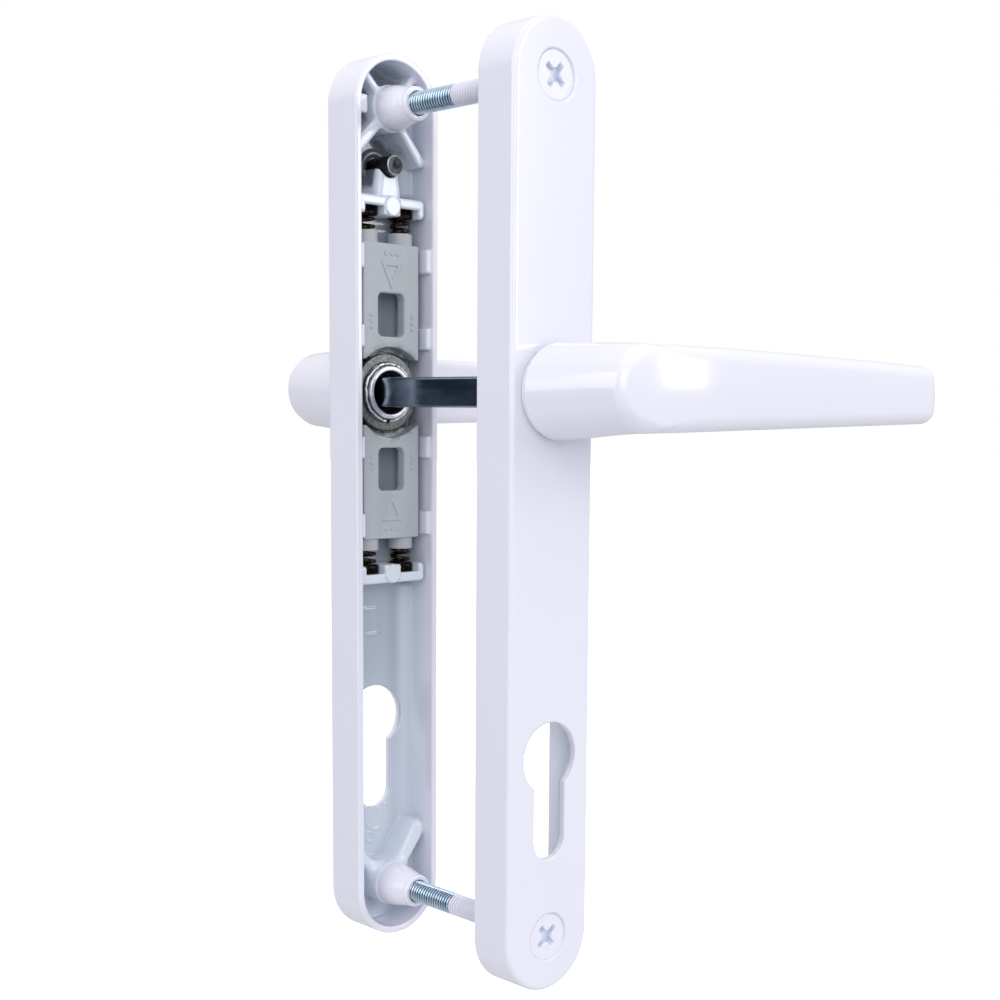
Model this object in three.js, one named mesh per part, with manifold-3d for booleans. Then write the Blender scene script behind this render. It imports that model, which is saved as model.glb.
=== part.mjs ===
// A pair of sprung door levers on long backplates, for a multipoint lock with a euro profile cylinder.
// Millimetres. X runs along the levers, Y goes through the door from the near side to the far side, Z is up.
// The origin is on the spindle's axis, in the middle of the door's thickness.
// One side is modelled on the far (+Y) side of the door. The near side is its mirror image.
import * as THREE from "three";
import { mergeVertices } from "three/addons/utils/BufferGeometryUtils.js";
import Module from "manifold-3d";

const wasm = await Module();
wasm.setup();

// ---- Door and backplate ----
const DOOR = 48;
const PLATE_WIDTH = 28;
const PLATE_DEPTH = 13;
const WALL = 1.9;
const FLOOR = 2.2;
const TOP_SCREW_Z = 76;
const SCREW_CENTRES = 215;
const BOTTOM_SCREW_Z = TOP_SCREW_Z - SCREW_CENTRES;
const OUTER_EDGE_ROUND = 1.2;
const INNER_CORNER_ROUND = 2;

const RIM_Y = DOOR / 2;
const FACE_Y = RIM_Y + PLATE_DEPTH;
const FLOOR_Y = FACE_Y - FLOOR;
const PLATE_R = PLATE_WIDTH / 2;
const CAVITY_R = PLATE_R - WALL;
// The gap between pieces that touch, and how far a part of a solid runs into its neighbour.
const TOUCH = 0.3;
const OVERLAP = 0.5;

// ---- Cylinder cut-out ----
const CYLINDER_CENTRES = 92;
const CUTOUT_R = 9;
const CUTOUT_SLOT_WIDTH = 10.6;
const CUTOUT_BOTTOM_Z = -118.4;

// ---- Fixing screws and their bosses ----
const SCREW_R = 2.95;
const SCREW_HEAD_R = 6;
const SCREW_HEAD_HEIGHT = 3.2;
const SCREW_RECESS = 0.5;
const SCREW_TIP_CHAMFER = 0.9;
const DRIVE_LENGTH = 6.8;
const DRIVE_DEPTH = 2;
const DRIVE_WIDTH = 1.4;
const DRIVE_TURN = 45;
const SCREW_TIP_Y = 31;
const SCREW_HOLE_R = SCREW_R + TOUCH;
const BOSS_ROOT_R = 6;
const BOSS_NOSE_R = 4.5;
const BOSS_NOSE_Y = 15.4;
const NEAR_BOSS_Y = 26;
const BOSS_NOSE_CHAMFER = 0.6;
// Each rib's angle from +X, its thickness and the Y of its front edge.
const TOP_RIBS = [
  [48, 1.9, 27],
  [135, 2, 27],
  [226, 2.6, 27],
  [311, 2.2, 27],
];
const BOTTOM_RIBS = [
  [54, 4.4, 27.5],
  [140, 2.4, 29.6],
];

// ---- Spring cassette ----
const SHELF_LOW = 47.8;
const SHELF_HIGH = 52.6;
const SHELF_Y = 26.3;
const SHELF_RIGHT = 11;
const SHELF_POST_R = 2.55;
const KNOB_RISE = 0.3;
const SLIDER_HALF_WIDTH = 9.55;
const SLIDER_FACE_Y = 26.9;
const SLIDER_STEP_Y = 30.8;
const SLIDER_BACK_Y = 34.4;
const SLIDER_FOOT = 8.95;
const SLIDER_TOP = 40.3;
const SLIDER_ARC_R = 12.1;
const BEARING_FACE = 9.6;
const WINDOW_HALF_WIDTH = 4.4;
const WINDOW_LOW = 15.2;
const WINDOW_HIGH = 27;
const WINDOW_CORNER_R = 1.5;
const PEG_X = 6;
const PEG_R = 3.7;
const PEG_Y = 30.9;
const PEG_TOP = 43.6;
const PEG_BORE_R = 3.15;
const PEG_BORE_BOTTOM = 36;
const SPRING_R = 2.35;
const SPRING_WIRE_R = 0.5;
const SPRING_TURNS = 6;
const SPRING_TURN_STEPS = 8;
const SPRING_WIRE_SIDES = 4;
const SPRING_TOP = 49.4;
const POCKET_R = 3.3;
const POCKET_TOP = 50.2;
const LUG_REACH = 1.7;
const LUG_Y = 24.6;
const LUG_BANDS = [
  [12, 18],
  [33, 39.6],
];
const STUD_Z = 61;
const STUD_R = 2.7;
const STUD_FRONT_Y = 25;
const STUD_CHAMFER = 0.4;
const STUD_SEAT = 0.2;
const BUTTRESS_HALF_WIDTH = 4.6;
const BUTTRESS_Y = 27.4;

// ---- Hub ----
const SPINDLE = 8;
const SPINDLE_CHAMFER = 0.7;
const SPINDLE_HALF_LENGTH = 57;
const SOCKET = SPINDLE + 2 * TOUCH;
const SOCKET_END_Y = 58;
const JOURNAL_R = 8.5;
const JOURNAL_NOSE_R = 7.85;
const JOURNAL_GROOVE_R = 7.1;
const JOURNAL_HOLE_R = 5.9;
const JOURNAL_HOLE_Y = 32.5;
const JOURNAL_FRONT_Y = 26.9;
const CAM_DISC_R = 10.65;
const CAM_FRONT_Y = 29;
const CAM_STEP_Y = 30.4;
const CAM_BACK_Y = 34;
const CAM_HALF_HEIGHT = 9;
const CAM_HALF_WIDTH = 6;
const RING_R = 8.65;
const RING_GAP = 1.6;
const RING_INSET = 0.8;
const GROOVE_INSET = 0.5;
const BUSH_R = 10.2;
const BUSH_FLANGE_R = 11.3;
const BUSH_FLANGE = 0.8;
const BUSH_FLANGE_CHAMFER = 0.4;
const BUSH_INNER_Y = 34.4;

// ---- Lever ----
const NECK_BASE_Y = FACE_Y + BUSH_FLANGE + 2 * TOUCH;
const NECK_BASE_R = 12;
const NECK_R = 10.6;
const NECK_RISE = 0.85;
const KNUCKLE_STEP = 0.2;
const LEVER_LENGTH = 124.5;
const LEVER_FACE = 34;
const LEVER_BACK = 23.6;
const LEVER_KNUCKLE = 30.6;
const LEVER_LEFT = -7.5;
const LEVER_EDGE = 2.2;
const LEVER_TOP = 11.45;
const LEVER_BOTTOM = -9.9;
const LEVER_TOP_TAPER = 1.5;
const LEVER_BOTTOM_TAPER = 3.3;

// Straight steps round a half circle of an outline, and round a whole turned piece.
const ARC_STEPS = 8;
const ROUND_STEPS = 20;
const FINE_ROUND_STEPS = 28;
const HALF_PI = Math.PI / 2;

// ---- Colours ----
const white = { color: 0xf1f0fb, roughness: 0.28, metalness: 0 };
const acetal = { color: 0xc8cbd0, roughness: 0.55, metalness: 0 };
const nylon = { color: 0xe6e6ec, roughness: 0.5, metalness: 0 };
const springSteel = { color: 0x2b1a12, roughness: 0.4, metalness: 0.8 };
const sinteredSteel = { color: 0x3d3f3f, roughness: 0.6, metalness: 0.7 };
const ringSteel = { color: 0xb9bcc6, roughness: 0.35, metalness: 1 };
const zincPlate = { color: 0x9fb0bf, roughness: 0.3, metalness: 1 };
const darkSteel = { color: 0x3a3d44, roughness: 0.45, metalness: 0.9 };

// ---- Solids ----
function solid(geometry) {
  const bare = geometry.index ? geometry.toNonIndexed() : geometry.clone();
  bare.deleteAttribute("normal");
  bare.deleteAttribute("uv");
  const merged = mergeVertices(bare, 1e-4);
  return new wasm.Manifold(
    new wasm.Mesh({
      numProp: 3,
      vertProperties: merged.attributes.position.array,
      triVerts: new Uint32Array(merged.index.array),
    }),
  );
}

function geometryOf(manifold) {
  const mesh = manifold.getMesh();
  const geometry = new THREE.BufferGeometry();
  geometry.setAttribute("position", new THREE.BufferAttribute(mesh.vertProperties, 3));
  geometry.setIndex(new THREE.BufferAttribute(mesh.triVerts, 1));
  geometry.computeVertexNormals();
  return geometry;
}

function join(first, ...others) {
  return others.reduce((sum, next) => sum.add(next), first);
}

function cut(first, ...others) {
  return others.reduce((rest, next) => rest.subtract(next), first);
}

// A block between two opposite corners.
function block(x0, x1, y0, y1, z0, z1) {
  const geometry = new THREE.BoxGeometry(x1 - x0, y1 - y0, z1 - z0);
  geometry.translate((x0 + x1) / 2, (y0 + y1) / 2, (z0 + z1) / 2);
  return solid(geometry);
}

// An outline drawn in X and Z, extruded through the door from y0 to y1.
function prism(outline, y0, y1, round = 0, arcSteps = ARC_STEPS) {
  const geometry = new THREE.ExtrudeGeometry(outline, {
    depth: y1 - y0 - 2 * round,
    bevelEnabled: round > 0,
    bevelThickness: round,
    bevelSize: round,
    bevelOffset: -round,
    bevelSegments: 2,
    curveSegments: arcSteps,
  });
  geometry.rotateX(HALF_PI);
  geometry.translate(0, y1 - round, 0);
  return solid(geometry);
}

// A body of revolution about a line along Y: pairs of radius and Y, starting and ending on the line.
function turned(x, z, profile, steps = ROUND_STEPS) {
  const points = profile.map(([r, y]) => new THREE.Vector2(r, y));
  const geometry = new THREE.LatheGeometry(points, steps);
  geometry.translate(x, 0, z);
  return solid(geometry);
}

function rod(x, z, r, y0, y1, steps = ROUND_STEPS) {
  return turned(x, z, [[0, y0], [r, y0], [r, y1], [0, y1]], steps);
}

// A round bar along Z.
function post(x, y, r, z0, z1, steps = 12) {
  const geometry = new THREE.CylinderGeometry(r, r, z1 - z0, steps);
  geometry.rotateX(HALF_PI);
  geometry.translate(x, y, (z0 + z1) / 2);
  return solid(geometry);
}

// A long outline with two round ends, round the points (0, top) and (0, bottom).
function stadium(r, top, bottom) {
  const shape = new THREE.Shape();
  shape.absarc(0, top, r, 0, Math.PI, false);
  shape.absarc(0, bottom, r, Math.PI, 2 * Math.PI, false);
  shape.closePath();
  return shape;
}

function roundedRectangle(halfWidth, low, high, r) {
  const shape = new THREE.Shape();
  shape.absarc(halfWidth - r, high - r, r, 0, HALF_PI, false);
  shape.absarc(r - halfWidth, high - r, r, HALF_PI, Math.PI, false);
  shape.absarc(r - halfWidth, low + r, r, Math.PI, 3 * HALF_PI, false);
  shape.absarc(halfWidth - r, low + r, r, 3 * HALF_PI, 4 * HALF_PI, false);
  shape.closePath();
  return shape;
}

// ---- Backplate ----
function cylinderCutout() {
  const slot = CUTOUT_SLOT_WIDTH / 2;
  const shape = new THREE.Shape();
  const notch = Math.asin(slot / CUTOUT_R);
  shape.absarc(0, -CYLINDER_CENTRES, CUTOUT_R, notch - HALF_PI, Math.PI + HALF_PI - notch, false);
  shape.absarc(0, CUTOUT_BOTTOM_Z + slot, slot, Math.PI, 2 * Math.PI, false);
  shape.closePath();
  return prism(shape, FLOOR_Y - 2, FACE_Y + 1);
}

// A web from a screw boss out to the wall, at an angle from +X.
function rib(z, degrees, thickness, frontY) {
  const angle = THREE.MathUtils.degToRad(degrees);
  const reach = CAVITY_R * 1.7;
  const geometry = new THREE.BoxGeometry(reach, FLOOR_Y + OVERLAP - frontY, thickness);
  geometry.translate(reach / 2, (FLOOR_Y + OVERLAP + frontY) / 2, 0);
  geometry.rotateY(-angle);
  geometry.translate(0, 0, z);
  return solid(geometry);
}

function screwBoss(z, noseR, noseY, ribs) {
  const profile = [
    [0, FLOOR_Y + OVERLAP],
    [BOSS_ROOT_R, FLOOR_Y + OVERLAP],
    [BOSS_ROOT_R - 0.2, RIM_Y],
    [noseR, noseY + BOSS_NOSE_CHAMFER],
    [noseR - BOSS_NOSE_CHAMFER, noseY],
    [0, noseY],
  ];
  const webs = ribs.map(([degrees, thickness, frontY]) => rib(z, degrees, thickness, frontY));
  return join(turned(0, z, profile.reverse()), ...webs);
}

// One cross wall of the cassette, with its two spring pockets. side is 1 above the hub and -1 below it.
function shelf(side) {
  const wall = block(-CAVITY_R - OVERLAP, SHELF_RIGHT, SHELF_Y, FLOOR_Y + OVERLAP, SHELF_LOW, SHELF_HIGH);
  const middle = (SHELF_LOW + SHELF_HIGH) / 2;
  const knob = rod(0, middle, SHELF_POST_R, SHELF_Y - KNOB_RISE, FLOOR_Y + OVERLAP);
  const pockets = [-PEG_X, PEG_X].flatMap((x) => [
    post(x, PEG_Y, POCKET_R, SHELF_LOW - 1, POCKET_TOP),
    block(x - POCKET_R, x + POCKET_R, SHELF_Y - 1, PEG_Y, SHELF_LOW - 1, POCKET_TOP),
  ]);
  const floorGuard = block(-CAVITY_R, CAVITY_R, FLOOR_Y, FLOOR_Y + OVERLAP, SHELF_LOW - 1, SHELF_HIGH);
  const upper = join(cut(join(wall, knob), ...pockets), floorGuard);
  return side > 0 ? upper : upper.mirror([0, 0, 1]);
}

function guideLugs() {
  const inner = CAVITY_R - LUG_REACH;
  return [1, -1].flatMap((side) =>
    LUG_BANDS.flatMap(([low, high]) => {
      const [z0, z1] = side > 0 ? [low, high] : [-high, -low];
      return [
        block(inner, CAVITY_R + OVERLAP, LUG_Y, FLOOR_Y + OVERLAP, z0, z1),
        block(-CAVITY_R - OVERLAP, -inner, LUG_Y, FLOOR_Y + OVERLAP, z0, z1),
      ];
    }),
  );
}

// The buttress between the upper shelf and the stud, hollowed round the stud.
function studButtress() {
  const slab = block(
    -BUTTRESS_HALF_WIDTH,
    BUTTRESS_HALF_WIDTH,
    BUTTRESS_Y,
    FLOOR_Y + OVERLAP,
    SHELF_HIGH - OVERLAP,
    STUD_Z - 1,
  );
  return cut(slab, rod(0, STUD_Z, STUD_R + TOUCH, RIM_Y, FLOOR_Y + 1));
}

function backplateShell() {
  const outline = stadium(PLATE_R, TOP_SCREW_Z, BOTTOM_SCREW_Z);
  const whole = prism(outline, RIM_Y - 5, FACE_Y, OUTER_EDGE_ROUND);
  const trimmed = cut(whole, block(-20, 20, RIM_Y - 10, RIM_Y, -160, 100));
  const cavityOutline = stadium(CAVITY_R, TOP_SCREW_Z, BOTTOM_SCREW_Z);
  return cut(trimmed, prism(cavityOutline, RIM_Y - 5, FLOOR_Y, INNER_CORNER_ROUND));
}

function backplate(isNear) {
  const noseY = isNear ? NEAR_BOSS_Y : BOSS_NOSE_Y;
  const noseR = isNear ? BOSS_ROOT_R - 0.3 : BOSS_NOSE_R;
  const outline = stadium(CAVITY_R + OVERLAP, TOP_SCREW_Z, BOTTOM_SCREW_Z);
  const fittings = join(
    screwBoss(TOP_SCREW_Z, noseR, noseY, TOP_RIBS),
    screwBoss(BOTTOM_SCREW_Z, noseR, noseY, BOTTOM_RIBS),
    shelf(1),
    shelf(-1),
    studButtress(),
    ...guideLugs(),
  ).intersect(prism(outline, 0, FACE_Y));
  const holes = [
    rod(0, 0, BUSH_R + TOUCH, RIM_Y, FACE_Y + 1),
    rod(0, STUD_Z, STUD_R + TOUCH, FLOOR_Y - OVERLAP, FLOOR_Y + 1),
    cylinderCutout(),
  ];
  for (const z of [TOP_SCREW_Z, BOTTOM_SCREW_Z]) {
    holes.push(isNear ? countersink(z) : rod(0, z, SCREW_HOLE_R, 0, SCREW_TIP_Y + 1));
  }
  return cut(join(backplateShell(), fittings), ...holes);
}

function countersink(z) {
  const headTop = FACE_Y - SCREW_RECESS;
  const wide = SCREW_HEAD_R + TOUCH;
  const neck = headTop - SCREW_HEAD_HEIGHT - TOUCH;
  const profile = [
    [0, 0],
    [SCREW_HOLE_R, 0],
    [SCREW_HOLE_R, neck],
    [wide, headTop - TOUCH],
    [wide, FACE_Y + 1],
    [0, FACE_Y + 1],
  ];
  return turned(0, z, profile);
}

// ---- Hub ----
function cam() {
  const disc = rod(0, 0, CAM_DISC_R, CAM_FRONT_Y, CAM_STEP_Y, FINE_ROUND_STEPS);
  const flats = block(
    -CAM_HALF_WIDTH,
    CAM_HALF_WIDTH,
    CAM_STEP_Y - 0.1,
    CAM_BACK_Y,
    -CAM_HALF_HEIGHT,
    CAM_HALF_HEIGHT,
  );
  const collar = rod(0, 0, JOURNAL_R + 1, CAM_STEP_Y - 0.1, CAM_BACK_Y, FINE_ROUND_STEPS)
    .intersect(block(-20, 20, 0, 50, -CAM_HALF_HEIGHT, CAM_HALF_HEIGHT));
  const narrow = rod(0, 0, JOURNAL_NOSE_R + TOUCH, CAM_FRONT_Y - 1, CAM_BACK_Y, FINE_ROUND_STEPS);
  const wide = rod(0, 0, JOURNAL_R + TOUCH, CAM_STEP_Y, CAM_BACK_Y + 1, FINE_ROUND_STEPS);
  return cut(join(disc, flats, collar), narrow, wide);
}

// A split ring that sits in the journal's groove and holds the cam on.
function retainingRing() {
  const y0 = JOURNAL_FRONT_Y + RING_INSET;
  const y1 = CAM_FRONT_Y - TOUCH;
  const ring = cut(
    rod(0, 0, RING_R, y0, y1, FINE_ROUND_STEPS),
    rod(0, 0, JOURNAL_GROOVE_R + TOUCH, y0 - 1, y1 + 1, FINE_ROUND_STEPS),
  );
  return cut(ring, block(-RING_GAP / 2, RING_GAP / 2, y0 - 1, y1 + 1, -RING_R - 1, 0));
}

function bush() {
  const flangeY = FACE_Y + TOUCH;
  const profile = [
    [JOURNAL_R + TOUCH, BUSH_INNER_Y],
    [BUSH_R, BUSH_INNER_Y],
    [BUSH_R, flangeY],
    [BUSH_FLANGE_R, flangeY],
    [BUSH_FLANGE_R, flangeY + BUSH_FLANGE - BUSH_FLANGE_CHAMFER],
    [BUSH_FLANGE_R - BUSH_FLANGE_CHAMFER, flangeY + BUSH_FLANGE],
    [JOURNAL_R + TOUCH, flangeY + BUSH_FLANGE],
    [JOURNAL_R + TOUCH, BUSH_INNER_Y],
  ];
  return turned(0, 0, profile, FINE_ROUND_STEPS);
}

// ---- Lever ----
// The grip and knuckle as seen from above: X along the lever, the second number out from the backplate.
function leverPlan() {
  const plan = new THREE.Shape();
  plan.moveTo(LEVER_LEFT - 1.7, LEVER_BACK - 8);
  plan.lineTo(NECK_R - 4, LEVER_BACK - 8);
  plan.quadraticCurveTo(NECK_R - 1, LEVER_BACK, NECK_R + 9, LEVER_BACK);
  plan.lineTo(LEVER_LENGTH - 3, LEVER_BACK);
  plan.quadraticCurveTo(LEVER_LENGTH, LEVER_BACK, LEVER_LENGTH, LEVER_BACK + 3);
  plan.lineTo(LEVER_LENGTH, LEVER_FACE - 4.5);
  plan.quadraticCurveTo(LEVER_LENGTH, LEVER_FACE - 1.2, LEVER_LENGTH - 4, LEVER_FACE - 1);
  plan.lineTo(24, LEVER_FACE);
  plan.quadraticCurveTo(10, LEVER_FACE, 0, LEVER_KNUCKLE + 1.2);
  plan.quadraticCurveTo(LEVER_LEFT + 0.9, LEVER_KNUCKLE - 0.4, LEVER_LEFT, LEVER_KNUCKLE - 5);
  plan.closePath();
  return plan;
}

function leverGrip() {
  const height = LEVER_TOP - LEVER_BOTTOM;
  const geometry = new THREE.ExtrudeGeometry(leverPlan(), {
    depth: height - 2 * LEVER_EDGE,
    bevelEnabled: true,
    bevelThickness: LEVER_EDGE,
    bevelSize: LEVER_EDGE,
    bevelOffset: -LEVER_EDGE,
    bevelSegments: 2,
    curveSegments: 4,
  });
  geometry.translate(0, FACE_Y, LEVER_EDGE);
  const place = geometry.attributes.position;
  for (let i = 0; i < place.count; i++) {
    const along = THREE.MathUtils.clamp(place.getX(i) / LEVER_LENGTH, 0, 1);
    const share = place.getZ(i) / height;
    const top = LEVER_TOP - LEVER_TOP_TAPER * along * along;
    const bottom = LEVER_BOTTOM + LEVER_BOTTOM_TAPER * along;
    place.setZ(i, bottom + (top - bottom) * share);
  }
  const knuckle = rod(0, NECK_RISE, NECK_R + KNUCKLE_STEP, FACE_Y, FACE_Y + LEVER_FACE, FINE_ROUND_STEPS);
  const beyond = block(0, LEVER_LENGTH + 1, FACE_Y, FACE_Y + LEVER_FACE + 1, -20, 20);
  return solid(geometry).intersect(join(knuckle, beyond));
}

function lever() {
  const kneeY = FACE_Y + LEVER_KNUCKLE - 6;
  const neckProfile = [
    [0, JOURNAL_FRONT_Y],
    [JOURNAL_NOSE_R, JOURNAL_FRONT_Y],
    [JOURNAL_NOSE_R, JOURNAL_FRONT_Y + GROOVE_INSET],
    [JOURNAL_GROOVE_R, JOURNAL_FRONT_Y + GROOVE_INSET],
    [JOURNAL_GROOVE_R, CAM_FRONT_Y],
    [JOURNAL_NOSE_R, CAM_FRONT_Y],
    [JOURNAL_NOSE_R, CAM_STEP_Y + TOUCH],
    [JOURNAL_R, CAM_STEP_Y + TOUCH],
    [JOURNAL_R, NECK_BASE_Y],
    [NECK_BASE_R, NECK_BASE_Y],
    [NECK_BASE_R - 0.7, NECK_BASE_Y + 6],
    [NECK_R, kneeY - 8],
    [NECK_R - 2.4, kneeY],
    [0, kneeY + 1],
  ];
  const socket = block(-SOCKET / 2, SOCKET / 2, 0, SOCKET_END_Y, -SOCKET / 2, SOCKET / 2);
  const mouth = rod(0, 0, JOURNAL_HOLE_R, 0, JOURNAL_HOLE_Y);
  return cut(join(turned(0, 0, neckProfile, FINE_ROUND_STEPS), leverGrip()), socket, mouth);
}

function spindle() {
  const half = SPINDLE / 2;
  const inner = half - SPINDLE_CHAMFER;
  const corners = [
    [half, inner],
    [inner, half],
    [-inner, half],
    [-half, inner],
    [-half, -inner],
    [-inner, -half],
    [inner, -half],
    [half, -inner],
  ];
  const outline = new THREE.Shape(corners.map(([x, z]) => new THREE.Vector2(x, z)));
  return prism(outline, -SPINDLE_HALF_LENGTH, SPINDLE_HALF_LENGTH);
}

// ---- Cassette pieces, drawn above the hub ----
function slider() {
  const face = new THREE.Shape();
  const tip = Math.acos(SLIDER_FOOT / SLIDER_ARC_R);
  face.moveTo(SLIDER_HALF_WIDTH, SLIDER_FOOT);
  face.lineTo(SLIDER_HALF_WIDTH, SLIDER_TOP);
  face.lineTo(-SLIDER_HALF_WIDTH, SLIDER_TOP);
  face.lineTo(-SLIDER_HALF_WIDTH, SLIDER_FOOT);
  face.absarc(0, 0, SLIDER_ARC_R, HALF_PI + tip, HALF_PI - tip, true);
  face.closePath();
  const front = prism(face, SLIDER_FACE_Y, SLIDER_STEP_Y);
  const back = block(
    -SLIDER_HALF_WIDTH,
    SLIDER_HALF_WIDTH,
    SLIDER_STEP_Y - 0.1,
    SLIDER_BACK_Y,
    BEARING_FACE,
    SLIDER_TOP,
  );
  const window = prism(
    roundedRectangle(WINDOW_HALF_WIDTH, WINDOW_LOW, WINDOW_HIGH, WINDOW_CORNER_R),
    SLIDER_FACE_Y - 1,
    SLIDER_BACK_Y + 1,
    0,
    2,
  );
  const clearance = rod(0, 0, CAM_DISC_R + 0.6, SLIDER_FACE_Y - 1, SLIDER_STEP_Y, FINE_ROUND_STEPS);
  const pegs = [-PEG_X, PEG_X].map((x) => post(x, PEG_Y, PEG_R - 0.2, SLIDER_TOP - 1, PEG_TOP));
  const bores = [-PEG_X, PEG_X].map((x) => post(x, PEG_Y, PEG_BORE_R, PEG_BORE_BOTTOM, PEG_TOP + 1));
  return cut(join(front, back, ...pegs), clearance, window, ...bores);
}

class SpringPath extends THREE.Curve {
  getPoint(t, target = new THREE.Vector3()) {
    const angle = t * SPRING_TURNS * 2 * Math.PI;
    const low = PEG_BORE_BOTTOM + TOUCH + SPRING_WIRE_R;
    const high = SPRING_TOP - SPRING_WIRE_R;
    return target.set(SPRING_R * Math.cos(angle), SPRING_R * Math.sin(angle), low + (high - low) * t);
  }
}

function spring() {
  const wire = new THREE.Shape();
  for (let i = 0; i < SPRING_WIRE_SIDES; i++) {
    const angle = (i * 2 * Math.PI) / SPRING_WIRE_SIDES;
    const point = [SPRING_WIRE_R * Math.cos(angle), SPRING_WIRE_R * Math.sin(angle)];
    if (i === 0) wire.moveTo(...point);
    else wire.lineTo(...point);
  }
  wire.closePath();
  return solid(
    new THREE.ExtrudeGeometry(wire, {
      steps: SPRING_TURNS * SPRING_TURN_STEPS,
      extrudePath: new SpringPath(),
      bevelEnabled: false,
    }),
  );
}

// ---- Fasteners and studs ----
function fixingScrew() {
  const headY = SCREW_RECESS - FACE_Y;
  const shoulderY = headY + SCREW_HEAD_HEIGHT;
  const profile = [
    [0, headY],
    [SCREW_HEAD_R, headY],
    [SCREW_HEAD_R, headY + TOUCH],
    [SCREW_R, shoulderY],
    [SCREW_R, SCREW_TIP_Y - SCREW_TIP_CHAMFER],
    [SCREW_R - SCREW_TIP_CHAMFER, SCREW_TIP_Y],
    [0, SCREW_TIP_Y],
  ];
  const blades = [DRIVE_TURN, DRIVE_TURN - 90].map((degrees) => {
    const slot = new THREE.BoxGeometry(DRIVE_LENGTH, 2 * DRIVE_DEPTH, DRIVE_WIDTH);
    slot.rotateY(THREE.MathUtils.degToRad(degrees));
    slot.translate(0, headY, 0);
    return solid(slot);
  });
  return cut(turned(0, 0, profile), ...blades);
}

function stud() {
  const backY = FLOOR_Y + STUD_SEAT;
  const profile = [
    [0, STUD_FRONT_Y],
    [STUD_R - STUD_CHAMFER, STUD_FRONT_Y],
    [STUD_R, STUD_FRONT_Y + STUD_CHAMFER],
    [STUD_R, backY],
    [0, backY],
  ];
  return turned(0, STUD_Z, profile);
}

// ---- Assembly ----
function mesh(name, manifold, finish) {
  const made = new THREE.Mesh(geometryOf(manifold), new THREE.MeshStandardMaterial(finish));
  made.name = name;
  return made;
}

// The slider above or below the hub, with its two springs.
function springUnit(side, label) {
  const unit = new THREE.Group();
  unit.add(mesh(`${label}_slider`, slider(), acetal));
  [-PEG_X, PEG_X].forEach((x, i) => {
    const coil = mesh(`${label}_spring_${i + 1}`, spring(), springSteel);
    coil.position.set(x, PEG_Y, 0);
    unit.add(coil);
  });
  if (side < 0) unit.scale.z = -1;
  return unit;
}

function sideSet(label, isNear) {
  const set = new THREE.Group();
  set.add(
    mesh(`${label}_backplate`, backplate(isNear), white),
    mesh(`${label}_lever`, lever(), white),
    mesh(`${label}_bearing_bush`, bush(), nylon),
    mesh(`${label}_cam`, cam(), sinteredSteel),
    mesh(`${label}_retaining_ring`, retainingRing(), ringSteel),
    mesh(`${label}_stud`, stud(), darkSteel),
    springUnit(1, `${label}_upper`),
    springUnit(-1, `${label}_lower`),
  );
  if (isNear) set.scale.y = -1;
  return set;
}

const handleSet = new THREE.Group();
handleSet.add(sideSet("near", true), sideSet("far", false));
handleSet.add(mesh("spindle", spindle(), zincPlate));
[
  ["top_fixing_screw", TOP_SCREW_Z],
  ["bottom_fixing_screw", BOTTOM_SCREW_Z],
].forEach(([name, z]) => {
  const screw = mesh(name, fixingScrew(), zincPlate);
  screw.position.z = z;
  handleSet.add(screw);
});

export default handleSet;
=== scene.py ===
"""A pair of sprung lever handles on long backplates, joined through a door that isn't there.

Shapes are worked out in millimetres and made into meshes in metres. The far side of the set is modelled
with Y growing away from the door, and the near side is its mirror image. Cast and moulded pieces are
distance fields (negative inside) that are turned into meshes, so that their edges and fillets are real.
"""
import math

import bmesh
import bpy
import numpy as np
from mathutils import Matrix, Vector

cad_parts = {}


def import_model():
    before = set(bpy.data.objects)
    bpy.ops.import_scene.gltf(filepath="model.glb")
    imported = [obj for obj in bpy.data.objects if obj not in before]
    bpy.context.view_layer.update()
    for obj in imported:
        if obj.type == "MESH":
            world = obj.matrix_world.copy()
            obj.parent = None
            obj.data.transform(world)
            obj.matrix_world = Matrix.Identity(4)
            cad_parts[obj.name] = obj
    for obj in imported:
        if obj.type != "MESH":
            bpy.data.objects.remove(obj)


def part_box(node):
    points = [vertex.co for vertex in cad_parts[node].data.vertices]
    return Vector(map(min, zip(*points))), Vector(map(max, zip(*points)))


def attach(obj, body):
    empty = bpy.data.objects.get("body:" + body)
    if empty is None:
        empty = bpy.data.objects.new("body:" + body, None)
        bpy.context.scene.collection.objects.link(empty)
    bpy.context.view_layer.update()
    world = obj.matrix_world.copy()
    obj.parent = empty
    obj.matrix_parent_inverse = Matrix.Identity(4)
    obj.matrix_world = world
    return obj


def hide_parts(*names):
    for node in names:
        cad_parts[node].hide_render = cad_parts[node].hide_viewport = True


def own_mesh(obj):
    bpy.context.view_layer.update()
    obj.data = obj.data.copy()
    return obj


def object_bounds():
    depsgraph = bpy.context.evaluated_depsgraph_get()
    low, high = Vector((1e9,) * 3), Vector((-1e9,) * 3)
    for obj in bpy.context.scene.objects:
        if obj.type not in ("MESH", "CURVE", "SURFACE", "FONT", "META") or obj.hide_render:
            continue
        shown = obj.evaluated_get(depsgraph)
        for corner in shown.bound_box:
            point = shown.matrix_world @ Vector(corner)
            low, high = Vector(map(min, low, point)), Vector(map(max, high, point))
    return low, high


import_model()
cad_box = [list(corner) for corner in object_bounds()]

# ---- Sizes, in millimetres ----
MM = 0.001


def span(node):
    """A CAD node's lowest and highest corners in millimetres."""
    low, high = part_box(node)
    return np.array(low) / MM, np.array(high) / MM


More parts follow.
